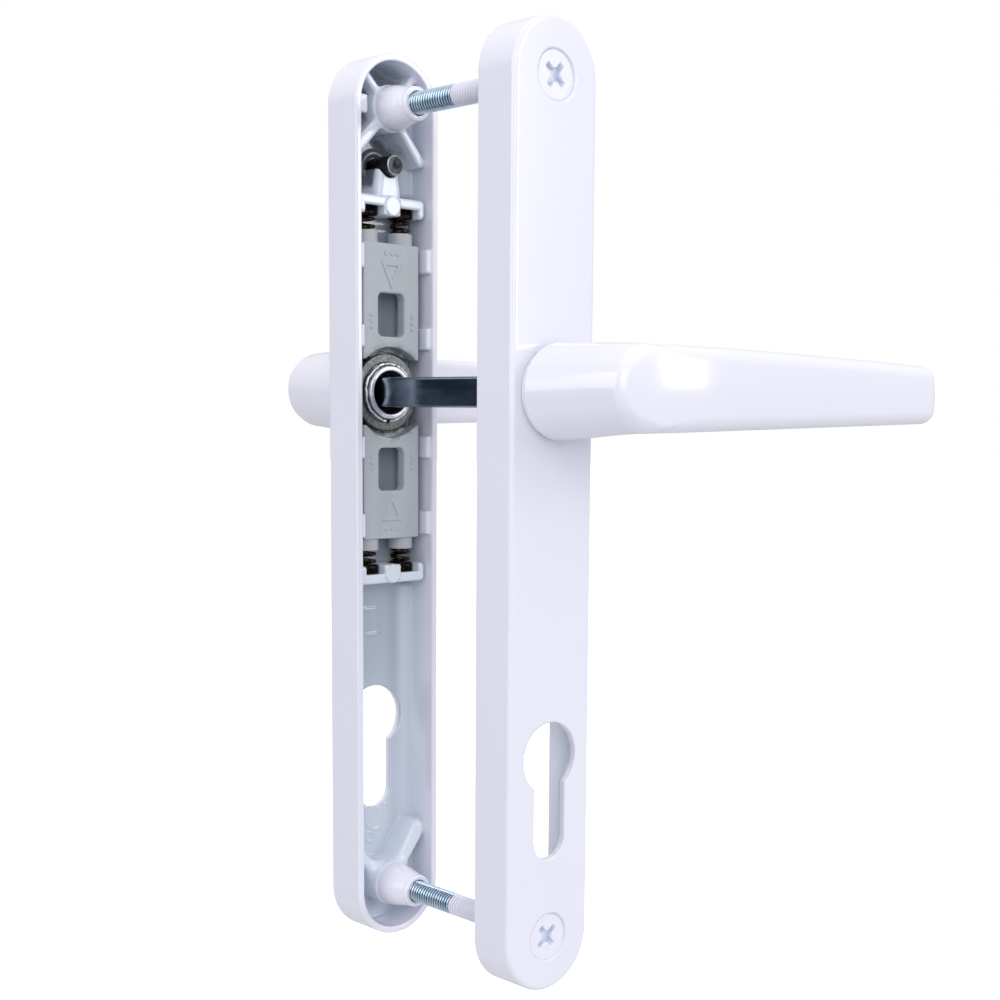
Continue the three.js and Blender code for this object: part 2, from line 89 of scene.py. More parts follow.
(_, near_face, BOTTOM), (PLATE_R, near_rim, TOP) = span("near_backplate")
FACE, RIM = -near_face, -near_rim
WALL, FLOOR = 1.9, FACE - 2.2
CAVITY_R = PLATE_R - WALL
FACE_EDGE, RIM_EDGE = 1.2, 0.4
NOSE = span("far_backplate")[0][1]

CUTOUT_Z, CUTOUT_R, SLOT_R, SLOT_END = -92.0, 9.0, 5.3, -118.4
(_, _, screw_low), (SCREW_HEAD_R, SCREW_TIP_Y, screw_high) = span("top_fixing_screw")
SCREW_SPACING = 215.0
TOP_SCREW = (screw_low + screw_high) / 2
BOTTOM_SCREW = TOP_SCREW - SCREW_SPACING
SCREW_R, THREAD_PITCH, THREAD_DEPTH = 2.95, 1.0, 0.6
SCREW_HEAD_DEPTH, DRIVE_LENGTH, DRIVE_HALF_WIDTH, DRIVE_DEPTH = 2.7, 3.6, 0.78, 1.5
HEAD_RECESS = 0.5
SCREW_HEAD_Y = HEAD_RECESS - FACE

(_, STUD_FRONT, stud_low), (STUD_R, STUD_BACK, stud_high) = span("far_stud")
STUD_Z = (stud_low + stud_high) / 2

(_, SLIDER_FRONT, SLIDER_FOOT), (SLIDER_W, SLIDER_BACK, PEG_TOP) = span("far_upper_slider")
SLIDER_TOP, SLIDER_STEP, SLIDER_ARC, BEARING = PEG_TOP - 3.3, 30.8, 12.4, 9.6
PEG_X, PEG_Y, PEG_R, PEG_BORE = 6.0, 30.9, 3.5, 3.0
WINDOW_LOW, WINDOW_HIGH, WINDOW_HALF_WIDTH, HOLLOW_HALF_WIDTH = 15.2, 27.0, 4.4, 7.6
ARROW_POINT, ARROW_BASE, DOT_ROW_Z, DOT_COLUMN_X = 28.2, 35.3, 37.6, 7.0
(_, _, SPRING_LOW), (_, _, SPRING_HIGH) = span("far_upper_spring_1")
SPRING_WIRE, SPRING_R, SPRING_PITCH = 0.55, 2.3, 2.0
SHELF_LOW, SHELF_HIGH, SHELF_FRONT, SHELF_LEFT, SHELF_RIGHT = 47.8, 52.6, 26.3, -13.0, 11.0
POCKET_R, POCKET_FLOOR = 3.3, 50.2
KNOB_R, KNOB_GROOVE_R = 2.55, 2.75
LUG_BANDS, LUG_REACH, LUG_FRONT = ((12, 18), (33, 39.6)), 1.5, RIM + 0.6
BUTTRESS_HALF_WIDTH, BUTTRESS_FRONT = 4.3, 27.4
COLLAR_R, COLLAR_BEAD_R = 4.1, 0.75
BOSS_R, NEAR_BOSS_R, FAR_NOSE_R, RIB_REACH = 5.9, 5.7, 4.45, 30.0

(_, CAM_FRONT, _), (CAM_R, CAM_BACK, _) = span("far_cam")
CAM_DISC_BACK = CAM_FRONT + 1.5
(_, BUSH_FRONT, _), (BUSH_FLANGE_R, BUSH_BACK, _) = span("far_bearing_bush")
BUSH_R, BUSH_BORE = 10.2, 8.8
(_, RING_FRONT, _), (RING_R, RING_BACK, _) = span("far_retaining_ring")
(_, JOURNAL_FRONT, _), (LEVER_END, lever_face, _) = span("far_lever")
LEVER_OUT = lever_face - FACE
JOURNAL_R, JOURNAL_ROOT_R, JOURNAL_HOLE, JOURNAL_HOLE_END = 7.3, 8.5, 5.9, 32.5
SOCKET_HALF = 4.3
NECK_R, NECK_TAPER, NECK_LEAN = 12.05, 0.057, 0.105
GRIP_TOP, GRIP_BOTTOM, GRIP_BOTTOM_RISE = 11.45, -9.85, 0.0265
LEVER_BACK, LEVER_EDGE = 23.6, 2.2
NECK_START = BUSH_BACK - FACE + 0.3
SPINDLE_HALF, SPINDLE_END, _ = span("spindle")[1]

COARSE = 1.0


# ---- Distance fields ----
def round_and(a, b, r):
    """Where both fields are inside, with a convex edge of radius r."""
    return np.minimum(np.maximum(a, b), -r) + np.hypot(np.maximum(a + r, 0), np.maximum(b + r, 0))


def round_or(a, b, r):
    """Where either field is inside, with a fillet of radius r."""
    return np.maximum(np.minimum(a, b), r) - np.hypot(np.maximum(r - a, 0), np.maximum(r - b, 0))


def slab(v, low, high):
    return np.maximum(low - v, v - high)


def capsule(u, v, r, low, high):
    """A stadium in two coordinates, its straight stretch along v."""
    return np.hypot(u, v - np.clip(v, low, high)) - r


def rounded_box(u, v, half_u, half_v, r):
    du, dv = np.abs(u) - half_u + r, np.abs(v) - half_v + r
    return np.hypot(np.maximum(du, 0), np.maximum(dv, 0)) + np.minimum(np.maximum(du, dv), 0) - r


def smooth(v, low, high):
    t = np.clip((v - low) / (high - low), 0, 1)
    return t * t * (3 - 2 * t)


def soft_ramp(u, softness):
    """0 below 0 and u above it, with a soft bend between."""
    return (u + np.sqrt(u * u + softness * softness)) / 2


# ---- Fields to meshes ----
def net_of(field, low, high, step):
    """Surface net: a vertex in each cell that the surface crosses, and a face across each crossed edge."""
    axes = [np.arange(a - step, b + 2 * step, step) for a, b in zip(low, high)]
    shape = tuple(len(a) for a in axes)
    values = np.empty(shape, np.float32)
    x, y = axes[0][:, None, None], axes[1][None, :, None]
    for k in range(0, shape[2], 16):
        values[:, :, k:k + 16] = field(x, y, axes[2][None, None, k:k + 16])
    cells = np.array(shape) - 1
    total = int(np.prod(cells))
    count, sums = np.zeros(total), np.zeros((3, total))
    crossings = []
    for axis in range(3):
        first = np.take(values, range(shape[axis] - 1), axis)
        second = np.take(values, range(1, shape[axis]), axis)
        edge = np.argwhere((first < 0) != (second < 0))
        a, b = first[tuple(edge.T)], second[tuple(edge.T)]
        point = edge.astype(float)
        point[:, axis] += a / (a - b)
        u, v = (axis + 1) % 3, (axis + 2) % 3
        corners = []
        for du, dv in ((0, 0), (-1, 0), (-1, -1), (0, -1)):
            cell = edge.copy()
            cell[:, u] += du
            cell[:, v] += dv
            corners.append((cell[:, 0] * cells[1] + cell[:, 1]) * cells[2] + cell[:, 2])
            count += np.bincount(corners[-1], minlength=total)
            for i in range(3):
                sums[i] += np.bincount(corners[-1], weights=point[:, i], minlength=total)
        quads = np.stack(corners, 1)
        quads[a >= 0] = quads[a >= 0][:, ::-1]
        crossings.append(quads)
    used = np.flatnonzero(count)
    number = np.full(total, -1)
    number[used] = np.arange(len(used))
    start = np.array([a[0] for a in axes])
    points = (sums[:, used] / count[used]).T * step + start
    return points, number[np.concatenate(crossings)]


def slope_of(field, points, reach=0.04):
    """The field's gradient at some points."""
    slope = np.empty_like(points)
    for axis in range(3):
        shift = np.zeros(3)
        shift[axis] = reach
        slope[:, axis] = (field(*(points + shift).T) - field(*(points - shift).T)) / (2 * reach)
    return slope


def shape_from_field(field, low, high, step, flatten=True):
    """A field's surface as points, outward slopes and faces, its flat areas joined into large faces."""
    points, faces = net_of(field, np.array(low, float), np.array(high, float), step * COARSE)
    for _ in range(3):
        slope = slope_of(field, points)
        size = np.maximum((slope ** 2).sum(1), 0.05)
        points -= np.clip((field(*points.T) / size)[:, None] * slope, -step, step)
    mesh = bpy.data.meshes.new("shape")
    mesh.from_pydata(points * MM, [], faces.tolist())
    mesh.validate()
    if flatten:
        dissolve_flats(mesh)
    points = values_of(mesh.vertices, "co", width=3).reshape(-1, 3).astype(float)
    slopes = slope_of(field, points / MM)
    slopes /= np.maximum(np.linalg.norm(slopes, axis=1), 1e-6)[:, None]
    faces = [list(face.vertices) for face in mesh.polygons]
    bpy.data.meshes.remove(mesh)
    return points, slopes, faces, (step * COARSE * MM) ** 2


def mirrors_of(name):
    """A name tells where its piece is: near pieces are turned over along Y, and lower ones along Z."""
    return [axis for word, axis in (("near", 1), ("lower", 2)) if word in name]


def mesh_from_shape(name, shape):
    """A mesh of the shape, turned over as its name asks. Its large flat faces are shaded flat."""
    points, slopes, faces, cell_area = shape
    points, slopes = points.copy(), slopes.copy()
    mirrors = mirrors_of(name)
    for axis in mirrors:
        points[:, axis] *= -1
        slopes[:, axis] *= -1
    if len(mirrors) % 2:
        faces = [face[::-1] for face in faces]
    mesh = bpy.data.meshes.new(name)
    mesh.from_pydata(points, [], faces)
    mesh.shade_smooth()
    face_size = values_of(mesh.polygons, "loop_total", np.int32)
    corner_face = np.repeat(np.arange(len(face_size)), face_size)
    normals = slopes[values_of(mesh.loops, "vertex_index", np.int32)]
    flat = values_of(mesh.polygons, "area")[corner_face] > 1.8 * cell_area
    normals[flat] = values_of(mesh.polygons, "normal", width=3).reshape(-1, 3)[corner_face[flat]]
    mesh.normals_split_custom_set(normals.tolist())
    mesh.update()
    return mesh


def mesh_from_field(name, field, low, high, step, flatten=True):
    return mesh_from_shape(name, shape_from_field(field, low, high, step, flatten))


def values_of(items, name, kind=np.float32, width=1):
    """One property of a mesh's vertices, corners or faces."""
    values = np.empty(len(items) * width, kind)
    items.foreach_get(name, values)
    return values


def dissolve_flats(mesh, degrees=0.15):
    """Joins the faces that lie in one plane, so that the vertices stay where the surface bends."""
    work = bmesh.new()
    work.from_mesh(mesh)
    bmesh.ops.dissolve_limit(work, angle_limit=math.radians(degrees), verts=work.verts, edges=work.edges)
    bmesh.ops.triangulate(work, faces=[f for f in work.faces if len(f.verts) > 4])
    work.to_mesh(mesh)
    work.free()


def mesh_from_rows(name, rows, close_rows=False):
    """A tube from rings of points in millimetres, its two ends closed by a fan."""
    rows = np.asarray(rows, float)
    count, around = rows.shape[:2]
    points = rows.reshape(-1, 3) * MM
    index = np.arange(count * around).reshape(count, around)
    turned = np.roll(index, -1, axis=1)
    last = count if close_rows else count - 1
    below, above = index[:last], np.roll(index, -1, axis=0)[:last]
    below_next, above_next = turned[:last], np.roll(turned, -1, axis=0)[:last]
    faces = np.stack([below, below_next, above_next, above], -1).reshape(-1, 4).tolist()
    if not close_rows:
        faces += [index[0][::-1].tolist(), index[-1].tolist()]
    for axis in mirrors_of(name):
        points[:, axis] *= -1
        faces = [face[::-1] for face in faces]
    mesh = bpy.data.meshes.new(name)
    mesh.from_pydata(points, [], faces)
    mesh.validate()
    mesh.shade_smooth()
    return mesh


def turned_mesh(name, profile, centre=(0.0, 0.0), steps=96, edge=0.25, closed=False):
    """A body of revolution about a line along Y, from pairs of radius and Y, its corners rounded."""
    soft = rounded_profile(profile, edge, closed)
    angles = np.arange(steps) * 2 * math.pi / steps
    rows = [
        np.stack([centre[0] + r * np.cos(angles), np.full(steps, y), centre[1] + r * np.sin(angles)], 1)
        for r, y in soft
    ]
    return facing_out(mesh_from_rows(name, rows, close_rows=closed))


def facing_out(mesh):
    """Turns the mesh's faces so that they point out of the body."""
    work = bmesh.new()
    work.from_mesh(mesh)
    bmesh.ops.recalc_face_normals(work, faces=work.faces)
    work.to_mesh(mesh)
    work.free()
    mesh.shade_smooth()
    return mesh


def rounded_profile(profile, edge, closed):
    """The profile with each corner replaced by a short arc."""
    points = [np.array(p, float) for p in profile]
    soft = []
    for i, here in enumerate(points):
        if not closed and i in (0, len(points) - 1):
            soft.append(here)
            continue
        before, after = points[i - 1], points[(i + 1) % len(points)]
        back, ahead = before - here, after - here
        reach = min(edge, np.linalg.norm(back) * 0.45, np.linalg.norm(ahead) * 0.45)
        start = here + back / np.linalg.norm(back) * reach
        end = here + ahead / np.linalg.norm(ahead) * reach
        for t in np.linspace(0, 1, 5):
            soft.append((1 - t) ** 2 * start + 2 * t * (1 - t) * here + t * t * end)
    return soft


# ---- Materials ----
class Nodes:
    """A material's node tree, built by short calls."""

    def __init__(self, name, color, roughness, metallic=0.0, **sockets):
        self.material = bpy.data.materials.new(name)
        self.material.use_nodes = True
        self.tree = self.material.node_tree
        self.shader = self.tree.nodes["Principled BSDF"]
        self.shader.inputs["Base Color"].default_value = (*color, 1)
        self.shader.inputs["Roughness"].default_value = roughness
        self.shader.inputs["Metallic"].default_value = metallic
        for socket, value in sockets.items():
            self.shader.inputs[socket.replace("_", " ")].default_value = value
        self.place = self.add("ShaderNodeTexCoord").outputs["Object"]

    def add(self, kind, **settings):
        node = self.tree.nodes.new(kind)
        for key, value in settings.items():
            setattr(node, key, value)
        return node

    def link(self, source, target):
        self.tree.links.new(source, target)

    def noise(self, scale, detail=3.0, stretch=(1, 1, 1), roughness=0.5, distortion=0.0):
        """A noise value whose cells are about 1/scale metres across."""
        mapping = self.add("ShaderNodeMapping")
        mapping.inputs["Scale"].default_value = stretch
        self.link(self.place, mapping.inputs["Vector"])
        node = self.add("ShaderNodeTexNoise")
        node.inputs["Scale"].default_value = scale
        node.inputs["Detail"].default_value = detail
        node.inputs["Roughness"].default_value = roughness
        node.inputs["Distortion"].default_value = distortion
        self.link(mapping.outputs["Vector"], node.inputs["Vector"])
        return node.outputs["Fac"]

    def span(self, value, low, high, to_low=0.0, to_high=1.0):
        """Maps low..high to to_low..to_high, smoothly and held at the ends."""
        node = self.add("ShaderNodeMapRange", interpolation_type="SMOOTHSTEP")
        for name, number in zip(("From Min", "From Max", "To Min", "To Max"), (low, high, to_low, to_high)):
            node.inputs[name].default_value = number
        self.link(value, node.inputs["Value"])
        return node.outputs["Result"]

    def reach(self, value, low, high, to_low=0.0, to_high=1.0):
        """The same as span, for a length whose low and high are in millimetres."""
        return self.span(value, low * MM, high * MM, to_low, to_high)

    def math(self, operation, a, b):
        node = self.add("ShaderNodeMath", operation=operation)
        for socket, value in zip(node.inputs, (a, b)):
            if isinstance(value, (int, float)):
                socket.default_value = value
            else:
                self.link(value, socket)
        return node.outputs[0]

    def times(self, a, b):
        return self.math("MULTIPLY", a, b)

    def mix(self, share, a, b):
        """A colour between a and b. Each is three numbers or a socket."""
        node = self.add("ShaderNodeMix", data_type="RGBA")
        self.link(share, node.inputs["Factor"])
        for socket, value in ((node.inputs[6], a), (node.inputs[7], b)):
            if isinstance(value, tuple):
                socket.default_value = (*value, 1)
            else:
                self.link(value, socket)
        return node.outputs[2]

    def vector(self, operation, a, b=(0, 0, 0)):
        node = self.add("ShaderNodeVectorMath", operation=operation)
        self.link(a, node.inputs[0])
        node.inputs[1].default_value = b
        return node.outputs

    def distance(self, centre, stretch=(1, 1, 1)):
        """Metres from a point, with each axis weighed by stretch: 0 ignores an axis."""
        offset = self.vector("SUBTRACT", self.place, centre)[0]
        return self.vector("LENGTH", self.vector("MULTIPLY", offset, stretch)[0])["Value"]

    def from_line(self, z=0.0):
        """Metres from the line along Y that is z millimetres up."""
        return self.distance((0, 0, z * MM), (1, 0, 1))

    def axis(self, index):
        split = self.add("ShaderNodeSeparateXYZ")
        self.link(self.place, split.inputs[0])
        return split.outputs[index]

    def color(self, socket):
        self.link(socket, self.shader.inputs["Base Color"])

    def rough(self, noise, low, high):
        """Roughness from low to high, over the middle of a noise's values."""
        self.link(self.span(noise, 0.3, 0.7, low, high), self.shader.inputs["Roughness"])

    def bump(self, height, metres, strength=1.0):
        """Raises the surface by up to metres where height is 1."""
        node = self.add("ShaderNodeBump")
        node.inputs["Distance"].default_value = metres
        node.inputs["Strength"].default_value = strength
        self.link(height, node.inputs["Height"])
        previous = self.shader.inputs["Normal"]
        if previous.is_linked:
            self.link(previous.links[0].from_socket, node.inputs["Normal"])
        self.link(node.outputs["Normal"], previous)


WHITE = (0.80, 0.80, 0.905)
WHITE_DIM = (0.79, 0.79, 0.895)
# Painted shade: the tray's walls and floor are coloured darker and bluer, as the shade inside the tray.
TRAY_WALL_SHADE = (0.68, 0.735, 0.83)
TRAY_FLOOR_SHADE = (0.43, 0.48, 0.56)
BARE_CASTING = (0.05, 0.05, 0.07)
# Oil and painted shade in the spring pockets.
POCKET_OIL_AND_SHADE = (0.02, 0.014, 0.01)
GREASE = (0.03, 0.07, 0.05)
GLOSS = {"IOR": 1.5, "Coat_Weight": 0.35, "Coat_Roughness": 0.08}


def coat(nodes):
    """The colour of glossy powder coat, with orange peel, fine nibs and faint handling marks."""
    nodes.bump(nodes.noise(420, 1.0), 1.5e-5, 0.35)
    nodes.bump(nodes.noise(3500, 2.0), 2e-6, 0.4)
    handled = nodes.noise(35, 2.0)
    nodes.rough(handled, 0.14, 0.18)
    specks = nodes.span(nodes.noise(1900, 2.0, roughness=0.7), 0.8, 0.84)
    color = nodes.mix(nodes.span(handled, 0.3, 0.7), WHITE, WHITE_DIM)
    return nodes.mix(nodes.times(specks, 0.5), color, BARE_CASTING)


def powder_coat():
    nodes = Nodes("powder_coat", WHITE, 0.24, **GLOSS)
    nodes.color(coat(nodes))
    return nodes.material


def plate_coat_with_shade(name, side):
    """Powder coat with painted shade that darkens it into the tray, thin in patches in the deep corners,
    with oil and painted shade in the spring pockets and grease round the hub. side is 1 on the far plate.
    """
    nodes = Nodes(name, WHITE, 0.24, **GLOSS)
    color = coat(nodes)
    specks = nodes.noise(2300, 3.0, roughness=0.8)
    depth = nodes.times(nodes.axis(1), float(side))
    level = nodes.axis(2)
    from_middle = distance_from_middle(nodes, level)
    inside = nodes.times(
        nodes.reach(depth, FLOOR + 0.3, FLOOR + 0.8, 1.0, 0.0),
        nodes.reach(from_middle, CAVITY_R + 0.2, CAVITY_R + 0.5, 1.0, 0.0),
    )
    # Painted shade: the walls and the fittings deep in the tray take the darker, bluer wall colour, more
    # the deeper they lie.
    fittings = nodes.times(
        nodes.reach(depth, RIM + 0.9, RIM + 2, 0.0, 0.75),
        nodes.reach(from_middle, CAVITY_R - 1.8, CAVITY_R - 0.8, 1.0, 0.0),
    )
    walls = nodes.math("MAXIMUM", fittings, nodes.reach(depth, RIM + 2, RIM + 7))
    color = nodes.mix(nodes.times(walls, inside), color, TRAY_WALL_SHADE)
    # Painted shade: the tray floor is darker still, less so towards the bottom of the plate.
    bottom = nodes.times(nodes.reach(depth, FLOOR - 1.2, FLOOR - 0.2), inside)
    floor_shade_fade = nodes.span(nodes.reach(level, -118, -60), 0.0, 1.0, 0.35, 1.0)
    color = nodes.mix(nodes.times(bottom, floor_shade_fade), color, TRAY_FLOOR_SHADE)
    color = bare_patches(nodes, color, specks, depth, inside)
    color = pocket_oil_and_shade(nodes, color, specks, level, side)
    nodes.color(greasy_hub(nodes, color, depth, inside))
    return nodes.material


def distance_from_middle(nodes, level):
    """Metres from the line between the two screws, so that it follows the plate's round ends."""
    held = nodes.math("MAXIMUM", nodes.math("MINIMUM", level, TOP_SCREW * MM), BOTTOM_SCREW * MM)
    past = nodes.math("POWER", nodes.math("SUBTRACT", level, held), 2.0)
    return nodes.math("SQRT", nodes.math("ADD", past, nodes.math("POWER", nodes.axis(0), 2.0)), 0.0)


def bare_patches(nodes, color, specks, depth, inside):
    """Grainy dark patches where the coat didn't reach, each fading out from inner to outer."""
    patch = nodes.noise(190, 2.0)
    for centre_z, inner, outer, weight, shallow in (
        (STUD_Z + 0.5, 5.0, 10.0, 0.95, 27.8),
        (TOP_SCREW + 2.5, 7.0, 13.5, 0.5, 28.5),
        (BOTTOM_SCREW - 5, 3.0, 9.0, 0.3, 28.5),
    ):
        near = nodes.reach(nodes.from_line(centre_z), inner, outer, 1.0, 0.0)
        cloudy = nodes.times(near, nodes.span(patch, 0.3, 0.6, 0.7, 1.0))
        low = nodes.times(nodes.reach(depth, shallow, shallow + 3), inside)
        share = nodes.times(nodes.times(cloudy, low), weight)
        grains = nodes.span(nodes.math("ADD", specks, share), 0.68, 1.2)
        color = nodes.mix(nodes.times(grains, 0.88), color, BARE_CASTING)
    return color


def pocket_oil_and_shade(nodes, color, specks, level, side):
    """Dark oil and painted shade inside the four spring pockets."""
    height = nodes.math("ABSOLUTE", level, 0.0)
    in_shelf = nodes.times(nodes.reach(height, 46.5, 47.5), nodes.reach(height, 50.3, 50.6, 1.0, 0.0))
    for x in (-PEG_X, PEG_X):
        away = nodes.distance((x * MM, side * PEG_Y * MM, 0), (1, 1, 0))
        pocket = nodes.times(nodes.reach(away, POCKET_R, 3.9, 1.0, 0.0), in_shelf)
        # Oil and painted shade darken the inside of each pocket.
        oil_and_shade = nodes.times(pocket, nodes.span(specks, 0.2, 0.55, 0.75, 1.0))
        color = nodes.mix(oil_and_shade, color, POCKET_OIL_AND_SHADE)
    return color


def greasy_hub(nodes, color, depth, inside):
    """Streaks of green-black grease round the hub."""
    deep = nodes.times(nodes.reach(depth, 28.5, 32.5), inside)
    away = nodes.distance((0, 0, 0), (1, 0, 0.9))
    greasy = nodes.times(nodes.reach(away, 9.5, 17, 1.0, 0.0), deep)
    streaks = nodes.span(nodes.noise(260, 4.0, (1.6, 1, 0.5), distortion=1.2), 0.42, 0.66)
    return nodes.mix(nodes.times(nodes.times(greasy, streaks), 0.9), color, GREASE)


def acetal():
    """Grey moulded plastic with faint flow marks, greasy toward the hub."""
    nodes = Nodes("acetal", (0.56, 0.59, 0.61), 0.45, IOR=1.48, Subsurface_Weight=0.08)
    nodes.shader.inputs["Subsurface Radius"].default_value = (0.001, 0.001, 0.001)
    flow = nodes.noise(90, 3.0, (1, 1, 0.3), distortion=0.8)
    color = nodes.mix(nodes.span(flow, 0.3, 0.7), (0.41, 0.435, 0.47), (0.465, 0.49, 0.53))
    stain = nodes.span(nodes.noise(420, 4.0, distortion=1.0), 0.4, 0.62)
    greasy = nodes.times(nodes.reach(nodes.from_line(), 10.8, 14.5, 1.0, 0.0), stain)
    nodes.color(nodes.mix(nodes.times(greasy, 0.75), color, GREASE))
    nodes.rough(flow, 0.38, 0.52)
    nodes.bump(nodes.noise(1800, 3.0), 6e-6, 0.6)
    return nodes.material


def nylon():
    nodes = Nodes("nylon", (0.8, 0.8, 0.85), 0.4, IOR=1.5)
    fine = nodes.noise(700, 3.0)
    nodes.color(nodes.mix(nodes.span(fine, 0.3, 0.7), (0.78, 0.78, 0.83), (0.83, 0.83, 0.88)))
    nodes.rough(fine, 0.34, 0.46)
    nodes.bump(fine, 8e-6, 0.5)
    return nodes.material


def metal(name, dark, light, roughness, scale=500, stretch=(1, 1, 1), pits=0.0):
    """A metal that varies between two colours, with its roughness and fine relief."""
    nodes = Nodes(name, light, roughness, 1.0)
    cloud = nodes.noise(scale, 4.0, stretch, roughness=0.6)
    nodes.color(nodes.mix(nodes.span(cloud, 0.35, 0.7), dark, light))
    nodes.rough(nodes.noise(scale * 2.1, 3.0, stretch), roughness * 0.75, roughness * 1.3)
    nodes.bump(nodes.noise(scale * 3.0, 3.0, stretch), 5e-6, 0.7)
    if pits:
        nodes.bump(nodes.span(nodes.noise(scale * 1.3, 2.0), 0.55, 0.75), pits, 0.8)
    return nodes.material


def journal_steel():
    """A machined end whose bore is painted near black as shade."""
    nodes = Nodes("journal_steel", (0.8, 0.8, 0.86), 0.34, 1.0)
    cloud = nodes.noise(420, 4.0, roughness=0.6)
    end = nodes.mix(nodes.span(cloud, 0.35, 0.7), (0.58, 0.58, 0.64), (0.86, 0.85, 0.92))
    clear_of_bore_shade = nodes.reach(nodes.from_line(), JOURNAL_HOLE - 0.15, JOURNAL_HOLE + 0.1)
    # Painted shade: the bore and the socket inside it are near black.
    nodes.color(nodes.mix(clear_of_bore_shade, (0.03, 0.032, 0.036), end))
    nodes.rough(cloud, 0.28, 0.42)
    nodes.bump(nodes.span(nodes.noise(600, 2.0), 0.5, 0.75), 2.5e-5, 0.7)
    return nodes.material


def stud_steel():
    """Blackened steel, with a painted highlight round the end's edge."""
    nodes = Nodes("dark_steel", (0.06, 0.065, 0.075), 0.3, 1.0)
    drawn = nodes.noise(700, 4.0, (1, 0.15, 1))
    color = nodes.mix(nodes.span(drawn, 0.35, 0.7), (0.018, 0.018, 0.023), (0.06, 0.062, 0.07))
    depth = nodes.math("ABSOLUTE", nodes.axis(1), 0.0)
    edge_highlight = nodes.times(
        nodes.reach(nodes.from_line(STUD_Z), STUD_R - 0.45, STUD_R - 0.2),
        nodes.reach(depth, STUD_FRONT + 0.25, STUD_FRONT + 0.55, 1.0, 0.0),
    )
    # Painted highlight: a bright ring round the edge of the stud's end.
    nodes.color(nodes.mix(nodes.times(edge_highlight, 0.8), color, (0.6, 0.6, 0.64)))
    nodes.rough(drawn, 0.22, 0.36)
    nodes.bump(nodes.noise(1500, 3.0), 6e-6, 0.6)
    return nodes.material


def spindle_zinc():
    """Zinc on drawn bar: long faint draw lines, dull blooms and bright specks."""
    nodes = Nodes("spindle_zinc", (0.45, 0.52, 0.58), 0.2, 1.0)
    bloom = nodes.noise(130, 5.0, (1, 0.35, 1), roughness=0.65)
    specks = nodes.span(nodes.noise(2600, 2.0), 0.68, 0.78)
    color = nodes.mix(nodes.span(bloom, 0.35, 0.68), (0.21, 0.26, 0.32), (0.32, 0.39, 0.47))
    nodes.color(nodes.mix(nodes.times(specks, 0.5), color, (0.8, 0.84, 0.88)))
    nodes.rough(bloom, 0.13, 0.24)
    nodes.bump(nodes.noise(1600, 3.0, (1, 0.04, 1)), 3e-6, 0.5)
    nodes.bump(nodes.noise(900, 3.0), 4e-6, 0.4)
    return nodes.material


def screw_paint():
    """White paint on the head and on the first half of the shank, with bare zinc past its ragged edge. The
    thread's valleys and the cross recess are painted darker as shade.
    """
    nodes = Nodes("screw_paint", WHITE, 0.28, 0.0, IOR=1.5)
    along = nodes.axis(1)
    ragged = nodes.times(nodes.noise(900, 3.0), 1.6 * MM)
    bare = nodes.reach(nodes.math("ADD", along, ragged), 0.1, 0.6)
    cloud = nodes.noise(500, 3.0)
    zinc = nodes.mix(nodes.span(cloud, 0.35, 0.7), (0.42, 0.55, 0.68), (0.56, 0.68, 0.8))
    away = nodes.math("MINIMUM", nodes.from_line(TOP_SCREW), nodes.from_line(BOTTOM_SCREW))
    shank = nodes.reach(along, SCREW_HEAD_Y + 3.2, SCREW_HEAD_Y + 3.6)
    # Painted shade in the thread's valleys: darker paint, and near black zinc.
    root = nodes.times(nodes.reach(away, SCREW_R - 0.5, SCREW_R - 0.08, 1.0, 0.0), shank)
    # Painted shade: a darker, bluer colour inside the cross recess.
    recess = nodes.times(
        nodes.reach(along, SCREW_HEAD_Y + 0.15, SCREW_HEAD_Y + 0.9),
        nodes.reach(along, SCREW_HEAD_Y + 2.6, SCREW_HEAD_Y + 3.2, 1.0, 0.0),
    )
    paint = nodes.mix(nodes.times(root, 0.4), WHITE, (0.4, 0.42, 0.5))
    paint = nodes.mix(nodes.times(recess, 0.75), paint, (0.58, 0.66, 0.8))
    nodes.color(nodes.mix(bare, paint, nodes.mix(root, zinc, (0.04, 0.06, 0.1))))
    nodes.link(bare, nodes.shader.inputs["Metallic"])
    nodes.rough(cloud, 0.18, 0.26)
    nodes.bump(nodes.noise(1500, 2.0), 2e-6, 0.4)
    return nodes.material


MATERIALS = {
    "powder_coat": powder_coat(),
    "near_coat": plate_coat_with_shade("near_coat", -1),
    "far_coat": plate_coat_with_shade("far_coat", 1),
    "acetal": acetal(),
    "nylon": nylon(),
    "spring_steel": metal("spring_steel", (0.012, 0.008, 0.006), (0.075, 0.042, 0.026), 0.24, 700),
    "sintered_steel": metal("sintered_steel", (0.13, 0.14, 0.13), (0.25, 0.26, 0.25), 0.42, 900, pits=2e-5),
    "ring_steel": metal("ring_steel", (0.5, 0.51, 0.54), (0.82, 0.83, 0.88), 0.32, 500, pits=2e-5),
    "journal_steel": journal_steel(),
    "dark_steel": stud_steel(),
    "spindle_zinc": spindle_zinc(),
    "screw_paint": screw_paint(),
}


def piece(name, mesh, body, replaces, material):
    """An object in the scene that rides on a CAD body, with its material in its one slot."""
    mesh.materials.append(MATERIALS[material])
    obj = bpy.data.objects.new(name, mesh)
    bpy.context.scene.collection.objects.link(obj)
    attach(obj, body)
    if replaces:
        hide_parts(replaces)
    return obj


SHAPES = {}


def shared_piece(
    label, kind, field, low, high, step, replaces, material, body="levers", flatten=True,
):
    """A piece whose shape serves every side of the set."""
    if kind not in SHAPES:
        SHAPES[kind] = shape_from_field(field, low, high, step, flatten)
    name = f"{label}_{kind}"
    piece(name, mesh_from_shape(name, SHAPES[kind]), body, replaces, material)


